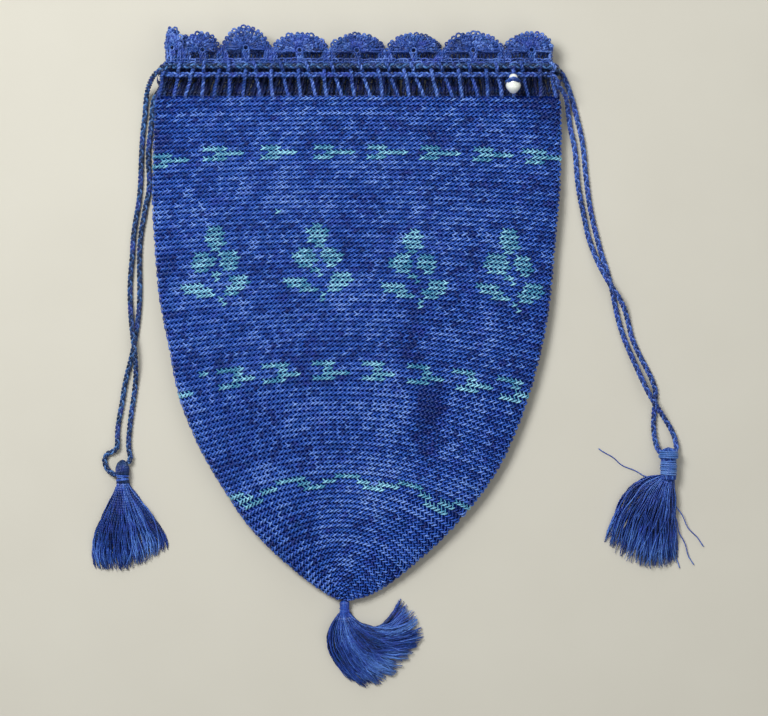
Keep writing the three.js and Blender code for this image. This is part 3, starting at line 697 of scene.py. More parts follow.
# The dents' sum: depth x exp(-distance^2), with the distance in reaches along a turned dent.
def dentDepth(along, across):
    depth = np.zeros(np.broadcast(along, across).shape)
    for n in range(len(dents["along"])):
        turn = math.radians(dents["turn"][n])
        down = (along - dents["along"][n]) * bag["length"]
        aside = (across - dents["across"][n]) * bag["width"] / 2
        lengthwise = down * math.cos(turn) + aside * math.sin(turn)
        sideways = aside * math.cos(turn) - down * math.sin(turn)
        reach = (lengthwise / (dents["reachAlong"][n] * bag["length"])) ** 2
        reach = reach + (sideways / (dents["reachAcross"][n] * bag["width"] / 2)) ** 2
        depth += dents["depth"][n] * bag["thickness"] * np.exp(-reach)
    return depth


# A slack fold on the right of the front, mm
fold = {"line": (26.5, -18.0), "bow": 0.044, "height": 1.0, "across": 2.8, "reach": (24.0, 17.0)}


# Slight pulls in the worked cloth: sines crossed two by two, one more down the bag, and
# the fold, where the cloth falls by a tanh across a bowed line.
def pulls(x, y):
    wide = 0.16 * np.sin(x / 9.1 + y / 14.3 + 0.6) * np.sin(y / 10.7 - x / 23 + 1.9)
    small = 0.09 * np.sin(x / 4.3 + 1.0) * np.sin(y / 5.2 + x / 31)
    rows = 0.06 * np.sin(y / 2.9 + x / 12)
    aside = x - fold["line"][0]
    down = y - fold["line"][1]
    fading = np.exp(-((aside / fold["reach"][0]) ** 2) - (down / fold["reach"][1]) ** 2)
    fall = fold["height"] * np.tanh((aside + fold["bow"] * down**2) / fold["across"]) * fading
    return wide + small + rows - fall


# The bag's skin. Front: low + thick (fold + (1 - fold) dome) - dent, with the dome
# sqrt(1 - |across| ^ round). Back: flat, with rounded sides.
def bagSkin(along, across, front, inset):
    half = readSection("half", along) * bag["width"] / 2 - inset
    centre = readSection("centre", along) * bag["width"] / 2
    thick = readSection("thick", along) * bag["thickness"] - 2 * inset
    low = readSection("lift", along) * bag["mouthLift"] + inset
    x = centre + half * across
    y = bag["mouth"] - along * bag["length"] + 0 * across
    if front:
        dome = np.sqrt(np.maximum(0, 1 - np.abs(across) ** readSection("round", along)))
        dent = (dentDepth(along, across) - pulls(x, y)) * dome
        z = low + thick * (bag["foldHeight"] + (1 - bag["foldHeight"]) * dome) - dent
    else:
        beyond = np.clip((np.abs(across) - bag["flatShare"]) / (1 - bag["flatShare"]), 0, 1)
        z = low + thick * bag["foldHeight"] * (1 - np.sqrt(1 - beyond**2))
    return np.stack([x, y, z], axis=-1)


# Points of one face, spaced evenly by the way over the skin.
def evenFace(along, front, inset, columns):
    across = -np.cos(np.linspace(0, math.pi, bag["fineSteps"])) * (1 if front else -1)
    face = bagSkin(along[:, None], across[None], front, inset)
    far = lengthAlong(face)
    spaced = np.empty((len(along), columns, 3))
    for row in range(len(along)):
        at = np.linspace(0, far[row, -1], columns + 1)[:-1]
        for axis in range(3):
            spaced[row, :, axis] = np.interp(at, far[row], face[row, :, axis])
    return spaced


# Rings from the mouth to the point, each from the left fold over the front and round.
def bagRings(along, inset, columns):
    halves = [evenFace(along, front, inset, columns // 2) for front in (True, False)]
    return np.concatenate(halves, axis=1)


# Shares of the length that crowd towards the point: 1 - (1 - share) ^ crowding.
def crowded(share):
    return 1 - (1 - share) ** bag["gridCrowding"]


skin = bagRings(crowded(np.linspace(0, 1, bag["gridRows"])), bag["yarnDepth"], bag["gridColumns"])
skinOut = unit(np.cross(
    np.gradient(skin, axis=0),
    np.roll(skin, -1, axis=1) - np.roll(skin, 1, axis=1),
))


# A grid read between its rows and columns; columns run round.
def readGrid(grid, row, column):
    row = np.clip(row, 0, grid.shape[0] - 1.001)
    r, c = np.floor(row).astype(int), np.floor(column).astype(int)
    fr, fc = (row - r)[..., None], (column - c)[..., None]
    wide = grid.shape[1]
    c0, c1 = c % wide, (c + 1) % wide
    near = grid[r, c0] * (1 - fc) + grid[r, c1] * fc
    far = grid[r + 1, c0] * (1 - fc) + grid[r + 1, c1] * fc
    return near * (1 - fr) + far * fr


# The row of the grid that a share of the length is on, which undoes the crowding.
def gridRow(along):
    return (1 - (1 - np.clip(along, 0, 1)) ** (1 / bag["gridCrowding"])) * (bag["gridRows"] - 1)


# The ground runs up from the point under the stitches and back down the inside of the wall.
def makeGround():
    outer = crowded(np.linspace(1, 0, bag["groundRows"]))
    inner = crowded(np.linspace(0, 1, bag["insideRows"])) * (1 - 2 * bag["wall"] / bag["length"])
    columns = bag["groundColumns"]
    bundle = Bundle()
    bundle.closedSheet(np.concatenate([
        bagRings(outer, bag["groundDepth"], columns), bagRings(inner, bag["wall"], columns),
    ]))
    bundle.piece("bag_ground", shadedGroundFinish(), "silk_body", ["bag_body"])


makeGround()

# Rows of stitches

stitching = {
    "rows": 103,
    "middle": -5.9,  # where the rows' arches stand highest, mm
    # radius of a row's arch by its distance from the point, mm
    "fromPoint": [0, 4, 11, 22, 44, 83, 108, 134, 181],
    "archRadius": [2, 5, 12, 31, 95, 288, 500, 900, 3000],
    # width of a stitch by its distance from the point, mm
    "wideFrom": [0, 60, 98, 181],
    "wide": [1.45, 1.55, 1.67, 1.75],
    "arcEnd": 0.995,  # the part of an arch's radius after which the row runs level
    "halvings": 24,
    # how far every second row is moved along, and each row past the one over it, in stitches
    "stagger": 0.5,
    "drift": 0.07,
    # how uneven the hand is: a stitch's shade and size, and the places of its yarns
    "uneven": {"shade": 0.6, "rowShade": 0.2, "size": 0.06, "across": 0.05, "up": 0.03, "out": 0.04},
    # the lowest shade a stitch may take; the painted shade of the front's folds reaches down to it
    "darkest": -1.4,
    "leftFrom": -10.0,  # mm, where the looser stitches of the left side begin
    "leftReach": 45.0,
    "edgeOut": 0.4,  # a yarn's height at the folds, as a share of its height on the flat
    # each yarn of a stitch: across and up as shares of the stitch, out and thickness in mm
    "front": [
        {
            "across": [-0.60, -0.34, 0.0, 0.34, 0.62],
            "up": [0.20, 0.24, 0.40, 0.58, 0.68],
            "out": [-0.24, 0.18, 0.36, 0.30, -0.10],
            "radius": [0.18, 0.27, 0.33, 0.31, 0.18],
            # the bar's shade of 0.3 is painted light: the same silk as the leg, paler where it stands
            # high in the light
            "sides": 5, "shade": 0.3, "leftLift": -0.08,
        },
        {
            "across": [-0.50, -0.24, 0.10, 0.32],
            "up": [1.12, 0.88, 0.54, 0.30],
            "out": [-0.14, 0.06, 0.06, -0.16],
            "radius": [0.18, 0.24, 0.24, 0.18],
            # the leg's shade of -0.5 is painted shade: the same silk, darker where it lies deeper under
            # the bars
            "sides": 4, "shade": -0.5, "leftLift": 0.2,
        },
    ],
    "back": [
        {
            "across": [-0.52, -0.05, 0.58],
            "up": [0.70, 0.24, 0.66],
            "out": [-0.30, 0.04, -0.22],
            "radius": [0.22, 0.32, 0.22],
            "sides": 4, "shade": 0.0, "leftLift": 0.0,
        },
    ],
}

# Motifs charted stitch by stitch; each place is a first row and a left edge in mm
motifs = [
    {"wide": 1.75, "places": [(23, -29.1)], "chart": ["X"]},
    {
        "wide": 1.75,
        "places": [
            (11, -74.0), (10, -54.2), (10, -34.9), (10, -15.3),
            (10, 3.7), (10, 22.4), (10, 41.4), (10, 60.3),
        ],
        "chart": [
            "XXXX....",
            "..XXXXXX",
            "XXXX....",
        ],
    },
    {
        "wide": 1.75,
        "places": [(26, -62.8), (26, -26.2), (27, 8.2), (26, 42.6)],
        "chart": [
            "......XX.......",
            ".....XXXX......",
            ".....XXXX......",
            ".....XXXX......",
            "......XX.......",
            "...XXX..XXX....",
            "..XXXXX.XXXX...",
            "..XXXXX.XXXX...",
            "...XXX...XX....",
            "......XX.......",
            ".......X..XXXX.",
            "XXXXX.....XXXX.",
            ".XXXXX...XXXX..",
            "...XXXX..XXX...",
            "........X......",
            "........X......",
        ],
    },
    {
        "wide": 1.65,
        "places": [
            (54, -49.3), (54, -33.1), (54, -16.4), (54, 1.3),
            (54, 18.4), (54, 35.0), (54, 51.2),
        ],
        "chart": [
            "XXXXX...",
            "...XX...",
            "...XXXXX",
            "XXXXX...",
        ],
    },
    {
        "wide": 1.65,
        "places": [(54, -65.0)],
        "chart": [
            ".....XX.",
            "........",
            "........",
            "XXXX....",
        ],
    },
    {
        "wide": 1.56,
        "places": [(77, -53.0), (77, -31.4), (77, -10.6), (77, 11.4), (77, 31.6)],
        "chart": [
            "..XXXXXX......",
            "XX.....XXX..XX",
            "........XXXXX.",
        ],
    },
]


# 1 where a stitch in that row, at that place across the bag, is worked in the pale silk.
def inPattern(row, x):
    found = np.zeros(x.shape)
    for motif in motifs:
        chart = motif["chart"]
        for firstRow, left in motif["places"]:
            line = row - firstRow
            if not 0 <= line < len(chart):
                continue
            marks = np.array([mark == "X" for mark in chart[line]])
            column = np.floor((x - left) / motif["wide"]).astype(int)
            inside = (column >= 0) & (column < len(marks))
            found = np.maximum(found, inside & marks[np.clip(column, 0, len(marks) - 1)])
    return found


# Painted shade and painted light on the front's silk: patches darker where its folds turn from the lamp,
# paler on its lit bulges; place and reach in mm, and amount
paintedLightAndShade = [
    {"place": (26, -20), "reach": (5, 13), "amount": -2.2},
    {"place": (21, 4), "reach": (4, 17), "amount": -0.8},
    {"place": (10, -13), "reach": (8, 12), "amount": 0.6},
    {"place": (-20, -7), "reach": (14, 4), "amount": -0.45},
    {"place": (-17, -61), "reach": (9, 4.5), "amount": -0.5},
    {"place": (-69, 82), "reach": (6, 11), "amount": -0.8},
    {"place": (69, 88), "reach": (9, 8), "amount": -0.8},
    {"place": (31, 86), "reach": (3, 9), "amount": -0.5},
    {"place": (-28, 64), "reach": (22, 14), "amount": 0.25},
    {"place": (-50, -13), "reach": (10, 10), "amount": 0.25},
    {"place": (-10, -52), "reach": (14, 6), "amount": 0.3},
]


# The painted patches' sum: amount x exp(-distance^2), with the distance in reaches.
def paintedLightAndShadeAt(x, y):
    litOrShaded = np.zeros(x.shape)
    for patch in paintedLightAndShade:
        aside = (x - patch["place"][0]) / patch["reach"][0]
        down = (y - patch["place"][1]) / patch["reach"][1]
        litOrShaded += patch["amount"] * np.exp(-(aside**2) - down**2)
    return litOrShaded


# Where each row crosses each grid column, as a share of the bag's length. A row is an
# arc: y = middle height - (radius - sqrt(radius^2 - aside^2)), halved in on from both sides.
def rowPlaces():
    rows = np.arange(stitching["rows"] + 1)
    columns = np.arange(bag["gridColumns"])
    fromPoint = bag["length"] * (1 - rows / stitching["rows"])
    bend = np.interp(fromPoint, stitching["fromPoint"], 1 / np.array(stitching["archRadius"]))
    radius = (1 / bend)[:, None]
    height = (bag["mouth"] - bag["length"] + fromPoint)[:, None]
    low = np.zeros((len(rows), len(columns)))
    high = np.ones_like(low)
    place = np.broadcast_to(columns.astype(float), low.shape)
    for _ in range(stitching["halvings"]):
        middle = (low + high) / 2
        point = readGrid(skin, gridRow(middle), place)
        aside = np.minimum(np.abs(point[..., 0] - stitching["middle"]), stitching["arcEnd"] * radius)
        sag = radius - np.sqrt(radius**2 - aside**2)
        above = bag["mouth"] - middle * bag["length"] > height - sag
        low = np.where(above, middle, low)
        high = np.where(above, high, middle)
    return (low + high) / 2


rowAlong = rowPlaces()


# A point of the worked cloth at a row and a column, with what points out of it.
def onCloth(row, column):
    along = readGrid(rowAlong[..., None], row, column)[..., 0]
    at = gridRow(along)
    return readGrid(skin, at, column), unit(readGrid(skinOut, at, column))


# Where the stitches of one row begin, in mm round the ring, and how wide they are.
def rowStitches(row):
    ring = np.arange(bag["gridColumns"] + 1.0)
    points, _ = onCloth(np.full(ring.shape, row + 0.5), ring)
    far = lengthAlong(points[None])[0]
    fromPoint = bag["length"] * (1 - (row + 0.5) / stitching["rows"])
    wide = np.interp(fromPoint, stitching["wideFrom"], stitching["wide"])
    count = max(int(round(far[-1] / wide)), 4)
    wide = far[-1] / count
    moved = stitching["stagger"] * (row % 2) + stitching["drift"] * row
    return (np.arange(count) + moved) * wide, wide, far


# Millimetres round a row turned into grid columns.
def ringColumn(at, far):
    laps = np.floor(at / far[-1])
    columns = np.arange(bag["gridColumns"] + 1.0)
    return np.interp(at - laps * far[-1], far, columns) + laps * bag["gridColumns"]


# Every stitch is a bright bar that rises to the right over a leg that comes down from
# the row above. Each yarn: cloth at (row, column) + out x height.
def addRow(bundle, side, row):
    loose = stitching["uneven"]
    start, wide, far = rowStitches(row)
    middle = ringColumn(start, far)
    onFront = middle % bag["gridColumns"] < bag["gridColumns"] // 2
    chosen = onFront if side == "front" else ~onFront
    start = start[chosen]
    count = len(start)
    centre, _ = onCloth(np.full(count, row + 0.5), middle[chosen])
    x, y = centre[:, 0], centre[:, 1]
    left = np.clip((stitching["leftFrom"] - x) / stitching["leftReach"], 0, 1)[:, None]
    shade = chance.normal(0, loose["shade"], count) + chance.normal(0, loose["rowShade"])
    if side == "front":
        # painted shade and painted light of the front's folds and bulges, added to each stitch's tone
        shade = shade + paintedLightAndShadeAt(x, y)
    size = 1 + chance.normal(0, loose["size"], (count, 1))
    for yarn in stitching[side]:
        at = start[:, None] + np.array(yarn["across"]) * wide
        columns = ringColumn(at + chance.normal(0, loose["across"], at.shape), far)
        lift = np.array(yarn["up"]) + chance.normal(0, loose["up"], at.shape)
        points, out = onCloth(np.clip(row + 1 - lift, 0, stitching["rows"]), columns)
        height = np.array(yarn["out"]) + chance.normal(0, loose["out"], (count, 1))
        flat = stitching["edgeOut"] + (1 - stitching["edgeOut"]) * np.abs(out[..., 2])
        height = (height + yarn["leftLift"] * left) * flat
        bundle.tubes(
            points + out * height[..., None], np.array(yarn["radius"]) * size, yarn["sides"], out,
            shade=np.clip(shade + yarn["shade"], stitching["darkest"], 1),
            pattern=inPattern(row, x), capped=False,
        )


def makeStitches(side, names, firstRows):
    for name, firstRow, endRow in zip(names, firstRows, firstRows[1:] + [stitching["rows"]]):
        bundle = Bundle()
        for row in range(firstRow, endRow):
            addRow(bundle, side, row)
        bundle.piece("stitches_" + side + "_" + name, bodySilk, "silk_body")


makeStitches("front", ["top", "flowers", "arrows", "point"], [0, 24, 48, 74])
makeStitches("back", ["top", "point"], [0, 50])
print("bag")

# Mouth: eyelet band and lace

band = {
    "half": sections["half"][0] * bag["width"] / 2,
    "centre": sections["centre"][0] * bag["width"] / 2,
    "thickness": 7.0,
    "height": 11.9,
    "topWidth": 139.0,
    "topShift": 0.9,
    "topLift": 3.4,
    "posts": 56,  # of the solid, right round; the bead hangs between two of them
    "lowerRow": 7.4,  # heights of the drawstrings over the mouth, mm
    "upperRow": 10.45,
    # the posts of each side: the share of the ring that they fill, how far they bulge
    # over a drawstring and lie sunk elsewhere, mm, and what their yarn is like
    "front": {
        "posts": 30, "first": 0.004, "last": 0.496, "bulge": 3.18, "sunk": 0.35,
        "steps": 30, "uneven": 0.14, "plump": 1.0, "sides": 5, "shade": 0.15,
    },
    "back": {
        "posts": 122, "first": 0.502, "last": 0.998, "bulge": 2.7, "sunk": 0.6,
        # the back's shade of -1.5 is painted shade: the back of the band, seen through the eyelets, is
        # darkened as if in shade
        "steps": 18, "uneven": 0.07, "plump": 1.1, "sides": 4, "shade": -1.5,
    },
    # a post's bends by the drawstring that it goes over: heights over the mouth, those
    # near the drawstring counted from its row, and how far each bend bulges
    "overLower": {
        "foot": [-0.5, 1.2, 3.4],
        "near": [-2.2, -1.3, -0.4, 0.5, 1.3, 1.8],
        "head": [10.2, 11.4],
        "bulge": [0.0, 0.05, 0.1, 0.45, 0.85, 1.0, 0.98, 0.7, 0.1, 0.0, 0.0],
    },
    "overUpper": {
        "foot": [-0.5, 1.2, 3.4, 5.4, 7.4],
        "near": [-2.0, -1.4, -0.5, 0.4, 1.0],
        "head": [11.9],
        "bulge": [0.0, 0.0, 0.0, 0.0, 0.0, 0.1, 0.7, 1.0, 1.0, 0.75, 0.4],
    },
    "lean": 1.1,  # how far the two posts of a front pair lean to each other, mm
    "leanFrom": 0.3,  # the share of the height where neither leans
    # how far a front post's foot stands to the right of its top, by its share across, mm
    "slantAt": [0, 0.14, 0.28, 0.7, 0.84, 1],
    "slant": [-0.4, 0.8, 3.2, 3.0, -0.6, -1.2],
    "backSlant": 0.9,
    "astray": 0.22,
    "postRadius": 0.4,
    "postCoil": 0.4,
    "postTwist": 2.7,
    # a back post's yarn where it crosses a drawstring: over how many mm it is pulled flat,
    # and how much thinner its yarn and its coil get
    "pinch": {"reach": 1.4, "yarn": 0.75, "coil": 0.9},
    "strandShade": 0.45,
    "shadeUneven": 0.35,
}

# The chains of long loops under and over the band's top
chain = {
    "fromTop": 0.6, "pitch": 2.3, "long": 1.55, "tall": 0.72, "out": 0.28, "yarn": 0.3,
    "tilt": 0.12, "shade": 0.25, "steps": 10,
    "uneven": {"place": 0.12, "tilt": 0.15, "tall": 0.15, "shade": 0.45},
}


# A flattened ring by the way along it, from the left fold over the front: a straight
# face, half a turn at the right fold, a straight back and the turn at the left fold.
def mouthRing(share, half, thick, grow):
    radius = thick / 2
    face = 2 * (half - radius)
    turn = math.pi * radius
    way = np.mod(share, 1.0) * 2 * (face + turn)
    end = half - radius
    leftAngle = math.pi - way / radius
    rightAngle = math.pi / 2 - (way - turn / 2 - face) / radius
    lastAngle = -math.pi / 2 - (way - 1.5 * turn - 2 * face) / radius
    zones = [way < turn / 2, way < turn / 2 + face, way < 1.5 * turn + face, way < 1.5 * turn + 2 * face]
    reach = radius + grow
    x = np.select(zones, [
        -end + np.cos(leftAngle) * reach, -end + way - turn / 2,
        end + np.cos(rightAngle) * reach, end - (way - 1.5 * turn - face),
    ], -end + np.cos(lastAngle) * reach)
    z = np.select(zones, [
        np.sin(leftAngle) * reach, reach + 0 * way,
        np.sin(rightAngle) * reach, -reach + 0 * way,
    ], np.sin(lastAngle) * reach)
    return x, z


def bandShape(rise):
    share = np.clip(rise / band["height"], 0, 1)
    half = band["half"] + (band["topWidth"] / 2 - band["half"]) * share
    centre = band["centre"] + (band["topShift"] - band["centre"]) * share
    low = bag["mouthLift"] + (band["topLift"] - bag["mouthLift"]) * share
    return half, centre, low


def bandPoint(share, rise, grow):
    share, rise, grow = np.broadcast_arrays(share, rise, grow)
    half, centre, low = bandShape(rise)
    x, z = mouthRing(share, half, band["thickness"], grow)
    return np.stack([centre + x, bag["mouth"] + rise, low + band["thickness"] / 2 + z], axis=-1)


# What points straight out of the ring there.
def bandOut(share, rise):
    return unit(bandPoint(share, rise, 1.0) - bandPoint(share, rise, 0.0))


bandFace = band["topWidth"] - band["thickness"] + math.pi * band["thickness"] / 2


# Heights of a post's bends where it goes over the drawstring of that row.
def postBends(facts, row):
    return np.array(facts["foot"] + [row + gap for gap in facts["near"]] + facts["head"])


# Front posts go over one drawstring and behind the other in turn. Round the back the
# yarn that crosses a drawstring is pulled flat and thin.
def addPosts(bundle, facts, inFront):
    low, high = band["lowerRow"], band["upperRow"]
    count = facts["posts"]
    across = (np.arange(count) + 0.5) / count
    share = (facts["first"] + (facts["last"] - facts["first"]) * across)[:, None]
    odd = (np.arange(count) % 2 == 1)[:, None]
    rises = np.where(odd, postBends(band["overUpper"], high), postBends(band["overLower"], low))
    bulge = np.where(odd, band["overUpper"]["bulge"], band["overLower"]["bulge"])
    tall = rises / band["height"]
    if inFront:
        slant = np.interp(across, band["slantAt"], band["slant"])[:, None]
        lean = band["lean"] * np.where(odd, -1.0, 1.0) * (tall - band["leanFrom"])
    else:
        slant = band["backSlant"]
        lean = 0.0
    aside = slant * (0.5 - tall) + lean + chance.normal(0, band["astray"], (count, 1))
    grow = bulge * (facts["bulge"] + facts["sunk"]) - facts["sunk"]
    bends = bandPoint(share + aside / (2 * bandFace), rises, grow)
    paths = uneven(np.stack([evenSteps(line, facts["steps"]) for line in bends]), facts["uneven"])
    rise = paths[..., 1] - bag["mouth"]
    out = bandOut(share + 0 * rise, rise)
    pinch = 0 * rise
    if not inFront:
        pinch = np.exp(-((rise - np.where(odd, high, low)) / band["pinch"]["reach"]) ** 2)
    thick = facts["plump"] * band["postRadius"] * (1 - band["pinch"]["yarn"] * pinch)
    coil = facts["plump"] * band["postCoil"] * (1 - band["pinch"]["coil"] * pinch)
    for strand in range(2):
        laid = twistedStrand(paths, coil, band["postTwist"], strand / 2, out)
        # a back post's shade may fall below the ramp's end, to -2, for its painted shade
        shade = chance.normal(band["strandShade"] * strand + facts["shade"], band["shadeUneven"], count)
        bundle.tubes(laid, thick, facts["sides"], out, shade=np.clip(shade, -2, 1))


# A chain of long loops right round the mouth, each through the one before it.
def addChain(bundle, rise, grow):
    loose = chain["uneven"]
    count = int(round(2 * bandFace / chain["pitch"]))
    share = ((np.arange(count) + chance.normal(0, loose["place"], count)) / count)[:, None]
    turn = np.linspace(0, 2 * math.pi, chain["steps"], endpoint=False)[None]
    tilt = chance.normal(chain["tilt"], loose["tilt"], (count, 1))
    along = chain["long"] * np.cos(turn)
    tall = chain["tall"] * np.sin(turn) * (1 + chance.normal(0, loose["tall"], (count, 1)))
    loops = bandPoint(
        share + (along - tall * tilt) / (2 * bandFace),
        rise + tall + along * tilt, grow + chain["out"] * np.cos(turn),
    )
    out = bandOut(share + 0 * turn, rise)
    shade = np.clip(chance.normal(chain["shade"], loose["shade"], count), -1, 1)
    bundle.tubes(loops, chain["yarn"], 4, out, closed=True, shade=shade)


def makeBand():
    bundle = Bundle()
    addChain(bundle, band["height"] - chain["fromTop"], 0.15)
    addPosts(bundle, band["front"], True)
    addPosts(bundle, band["back"], False)
    bundle.piece("band_of_trebles", laceSilk, "silk_lace", ["eyelet_band"])


makeBand()

lace = {
    "height": 13.0,
    "sag": 0.4,
    "cup": 0.7,
    "sunk": 0.6,  # under the band's outer face, mm
    "frontWide": [.062, .093, .124, .145, .142, .142, .157, .135],
    "frontRise": [1, .85, 1, .83, .81, .81, .83, .85],
    "backCount": 7,
    "backRise": 0.82,
    "hub": 0.41,  # a fan's middle, as a share of its rise
    "hubRing": 1.0,
    "hubYarn": 0.3,
    "legYarn": 0.33,
    "legTwist": 2.2,
    "shoulder": 0.8,
    "narrowing": 0.14,
    "apart": 1.2,
    "edgeGap": 0.9,  # mm that the fan's edge keeps under the rise, for its picots
    "lowShare": 0.55,  # how far the fan's lower side hangs towards the band
    "rays": 17,
    "fewestRays": 8,
    "raySpread": [190, -10],  # degrees
    "rayGap": 0.35,  # mm from the hub's ring
    "rayOut": 0.15,
    "rayBelly": 0.3,
    "rayYarn": 0.33,
    "rayTwist": 2.0,
    "chains": [(0.56, 0.5), (0.98, 0.3)],  # shares of the way to the edge, and mm out
    "chainYarn": 0.3,
    # rows of small loops, by their share of the way to the edge: a few are looser
    "loops": [
        {"share": 0.46, "pitch": 1.5, "radius": 0.42, "loose": 0.42, "out": 0.6, "yarn": 0.28},
        {"share": 0.66, "pitch": 1.5, "radius": 0.42, "loose": 0.42, "out": 0.6, "yarn": 0.28},
        {"share": 0.85, "pitch": 1.5, "radius": 0.42, "loose": 0.42, "out": 0.6, "yarn": 0.28},
        {"share": 1.0, "pitch": 1.75, "radius": 0.46, "loose": 0.8, "out": 0.1, "yarn": 0.36},
    ],
    "looseShare": 0.25,
    "loopShift": 0.35,
}


# A place on the lace: across one scallop, up from its foot and out of its face.
def lacePoint(start, wide, across, rise, out):
    across, rise, out = np.broadcast_arrays(across, rise, out)
    share = start + across * wide / 2
    belly = lace["cup"] * np.sin(math.pi * np.clip(across, 0, 1)) * rise / lace["height"]
    point = bandPoint(share, band["height"], out - lace["sunk"])
    point[..., 1] += rise
    point[..., 2] += np.where(share < 0.5, belly, -belly) - lace["sag"] * rise / lace["height"]
    return point


# Two strands twisted round each of the paths.
def addTwist(bundle, paths, radius, pitch, over, sides):
    for strand in range(2):
        laid = twistedStrand(paths, radius, pitch, strand / 2, over)
        shade = np.clip(chance.normal(0.5 * strand - 0.25, 0.5, len(paths)), -1, 1)
        bundle.tubes(laid, radius + 0.02, sides, over, shade=shade)


class Scallop:
    # one shell of the lace: a stem, a ring, rays that fan out from the ring, two chains
    # across them, and small loops over the fan and on its edge

    def __init__(self, bundle, start, wide, rise):
        self.bundle = bundle
        self.start = start
        self.wide = wide
        self.rise = rise
        self.across = wide * bandFace
        self.half = self.across / 2
        self.middle = lace["hub"] * rise
        self.out = bandOut(np.array([start + wide / 4]), band["height"])[0]
        self.spread = np.radians(lace["raySpread"])

    def lay(self, x, y, out):
        # mm across the shell, up it and out of its face
        return lacePoint(self.start, self.wide, x / self.across, y, out)

    # The fan's edge: middle + (half wide cos turn, reach sin turn), times a share,
    # narrower towards its head, with the sine to the power of its shoulder.
    def edge(self, turn, share):
        sine = np.sign(np.sin(turn)) * np.abs(np.sin(turn)) ** lace["shoulder"]
        cosine = np.cos(turn) * (1 - lace["narrowing"] * np.maximum(sine, 0))
        upper = self.rise - self.middle - lace["edgeGap"]
        reach = np.where(sine > 0, upper, lace["lowShare"] * self.middle)
        x = self.half + share * (self.half - lace["apart"]) * cosine
        return x, self.middle + share * reach * sine

    def addLegs(self):
        # each leg: its foot and its head across the shell, and how high its head is, mm
        half, middle = self.half, self.middle
        legs = [
            (half - 0.1, half - 1.1, middle - 0.6),
            (half + 0.9, half - 0.3, middle - 0.9),
            (half + 0.9, half + 1.1, middle - 0.6),
        ]
        inner = min(2.5, 0.28 * self.across)
        sides = [(0.3, 0.3, 0.4 * self.rise), (1.4, 1.1, 0.44 * self.rise), (inner, inner - 0.9, middle)]
        for foot, head, height in sides:
            legs += [(foot, head, height), (self.across - foot, self.across - head, height)]
        if self.start >= 0.5:
            legs += [(foot, foot + 0.4, middle) for foot in np.arange(1.8, self.across - 1.2, 1.35)]
        t = np.linspace(0, 1, 8)
        paths = np.stack([
            self.lay(foot + (head - foot) * t, 0.3 + (height - 0.3) * t, 0.1 * np.sin(math.pi * t))
            for foot, head, height in legs
        ])
        addTwist(self.bundle, uneven(paths, 0.1), lace["legYarn"], lace["legTwist"], self.out, 4)

    def addHub(self):
        turn = np.linspace(0, 2 * math.pi, 12, endpoint=False)
        radius = lace["hubRing"]
        ring = self.lay(self.half + radius * np.cos(turn), self.middle + radius * np.sin(turn), 0.2)
        self.bundle.tubes(ring[None], lace["hubYarn"], 5, self.out, closed=True, shade=0.4)

    def addRays(self, count):
        turn = np.linspace(*self.spread, count)[:, None]
        t = np.linspace(0, 1, 9)[None]
        headX, headY = self.edge(turn, 1.0)
        foot = lace["hubRing"] + lace["rayGap"]
        footX = self.half + foot * np.cos(turn)
        footY = self.middle + foot * np.sin(turn)
        out = lace["rayOut"] + lace["rayBelly"] * np.sin(math.pi * t) + chance.normal(0, 0.15, (count, 1))
        paths = self.lay(footX + (headX - footX) * t, footY + (headY - footY) * t, out)
        addTwist(self.bundle, uneven(paths, 0.14), lace["rayYarn"], lace["rayTwist"], self.out, 4)

    # The chains bulge a little between the rays.
    def addChains(self, rays):
        turn = np.linspace(*self.spread, 56)
        for share, height in lace["chains"]:
            x, y = self.edge(turn, share + 0.03 * np.sin(turn * rays * 2))
            paths = self.lay(x, y, height + 0.15 * np.sin(turn * rays * 2 + 1))[None]
            paths = uneven(paths, 0.16, 4.0)
            self.bundle.tubes(paths, lace["chainYarn"], 4, self.out, shade=chance.normal(0.0, 0.5))

    # Small loops side by side along the fan's edge or along a smaller copy of it.
    def addLoops(self, row):
        fine = np.linspace(*self.spread, 60)
        x, y = self.edge(fine, row["share"])
        far = np.concatenate([[0], np.cumsum(np.hypot(np.diff(x), np.diff(y)))])
        count = int(round(far[-1] / row["pitch"]))
        at = (np.arange(count) + 0.5 + chance.normal(0, 0.12, count)) * far[-1] / count
        turn = np.interp(at, far, fine)[:, None]
        x, y = self.edge(turn, row["share"])
        around = np.linspace(0, 2 * math.pi, 8, endpoint=False)[None]
        isLoose = chance.uniform(0, 1, (count, 1)) > 1 - lace["looseShare"]
        size = np.where(isLoose, row["loose"], row["radius"]) * (1 + chance.normal(0, 0.16, (count, 1)))
        out = row["out"] + chance.normal(0, 0.22, (count, 1))
        out = out + chance.normal(0, 0.3, (count, 1)) * np.cos(around)
        x = x + lace["loopShift"] * np.cos(turn) + size * np.cos(around)
        y = y + lace["loopShift"] * np.sin(turn) + size * np.sin(around)
        shade = np.clip(chance.normal(0.2, 0.55, count), -1, 1)
        self.bundle.tubes(self.lay(x, y, out), row["yarn"], 4, self.out, closed=True, shade=shade)

    def make(self):
        rays = int(round(lace["rays"] * min(1.0, 0.4 + self.across / 25)))
        rays = max(rays, lace["fewestRays"])
        self.addLegs()
        self.addHub()
        self.addRays(rays)
        self.addChains(rays)
        for row in lace["loops"]:
            self.addLoops(row)


def makeLace():
    bundle = Bundle()
    addChain(bundle, band["height"] + chain["fromTop"], -0.4)
    wides = np.array(lace["frontWide"] + [1 / lace["backCount"]] * lace["backCount"])
    rises = np.array(lace["frontRise"] + [lace["backRise"]] * lace["backCount"]) * lace["height"]
    starts = np.concatenate([[0], np.cumsum(wides / 2)[:-1]])
    for start, wide, rise in zip(starts, wides, rises):
        Scallop(bundle, start, wide, rise).make()
    bundle.piece("scalloped_lace", laceSilk, "silk_lace", ["shell_edging"])


makeLace()


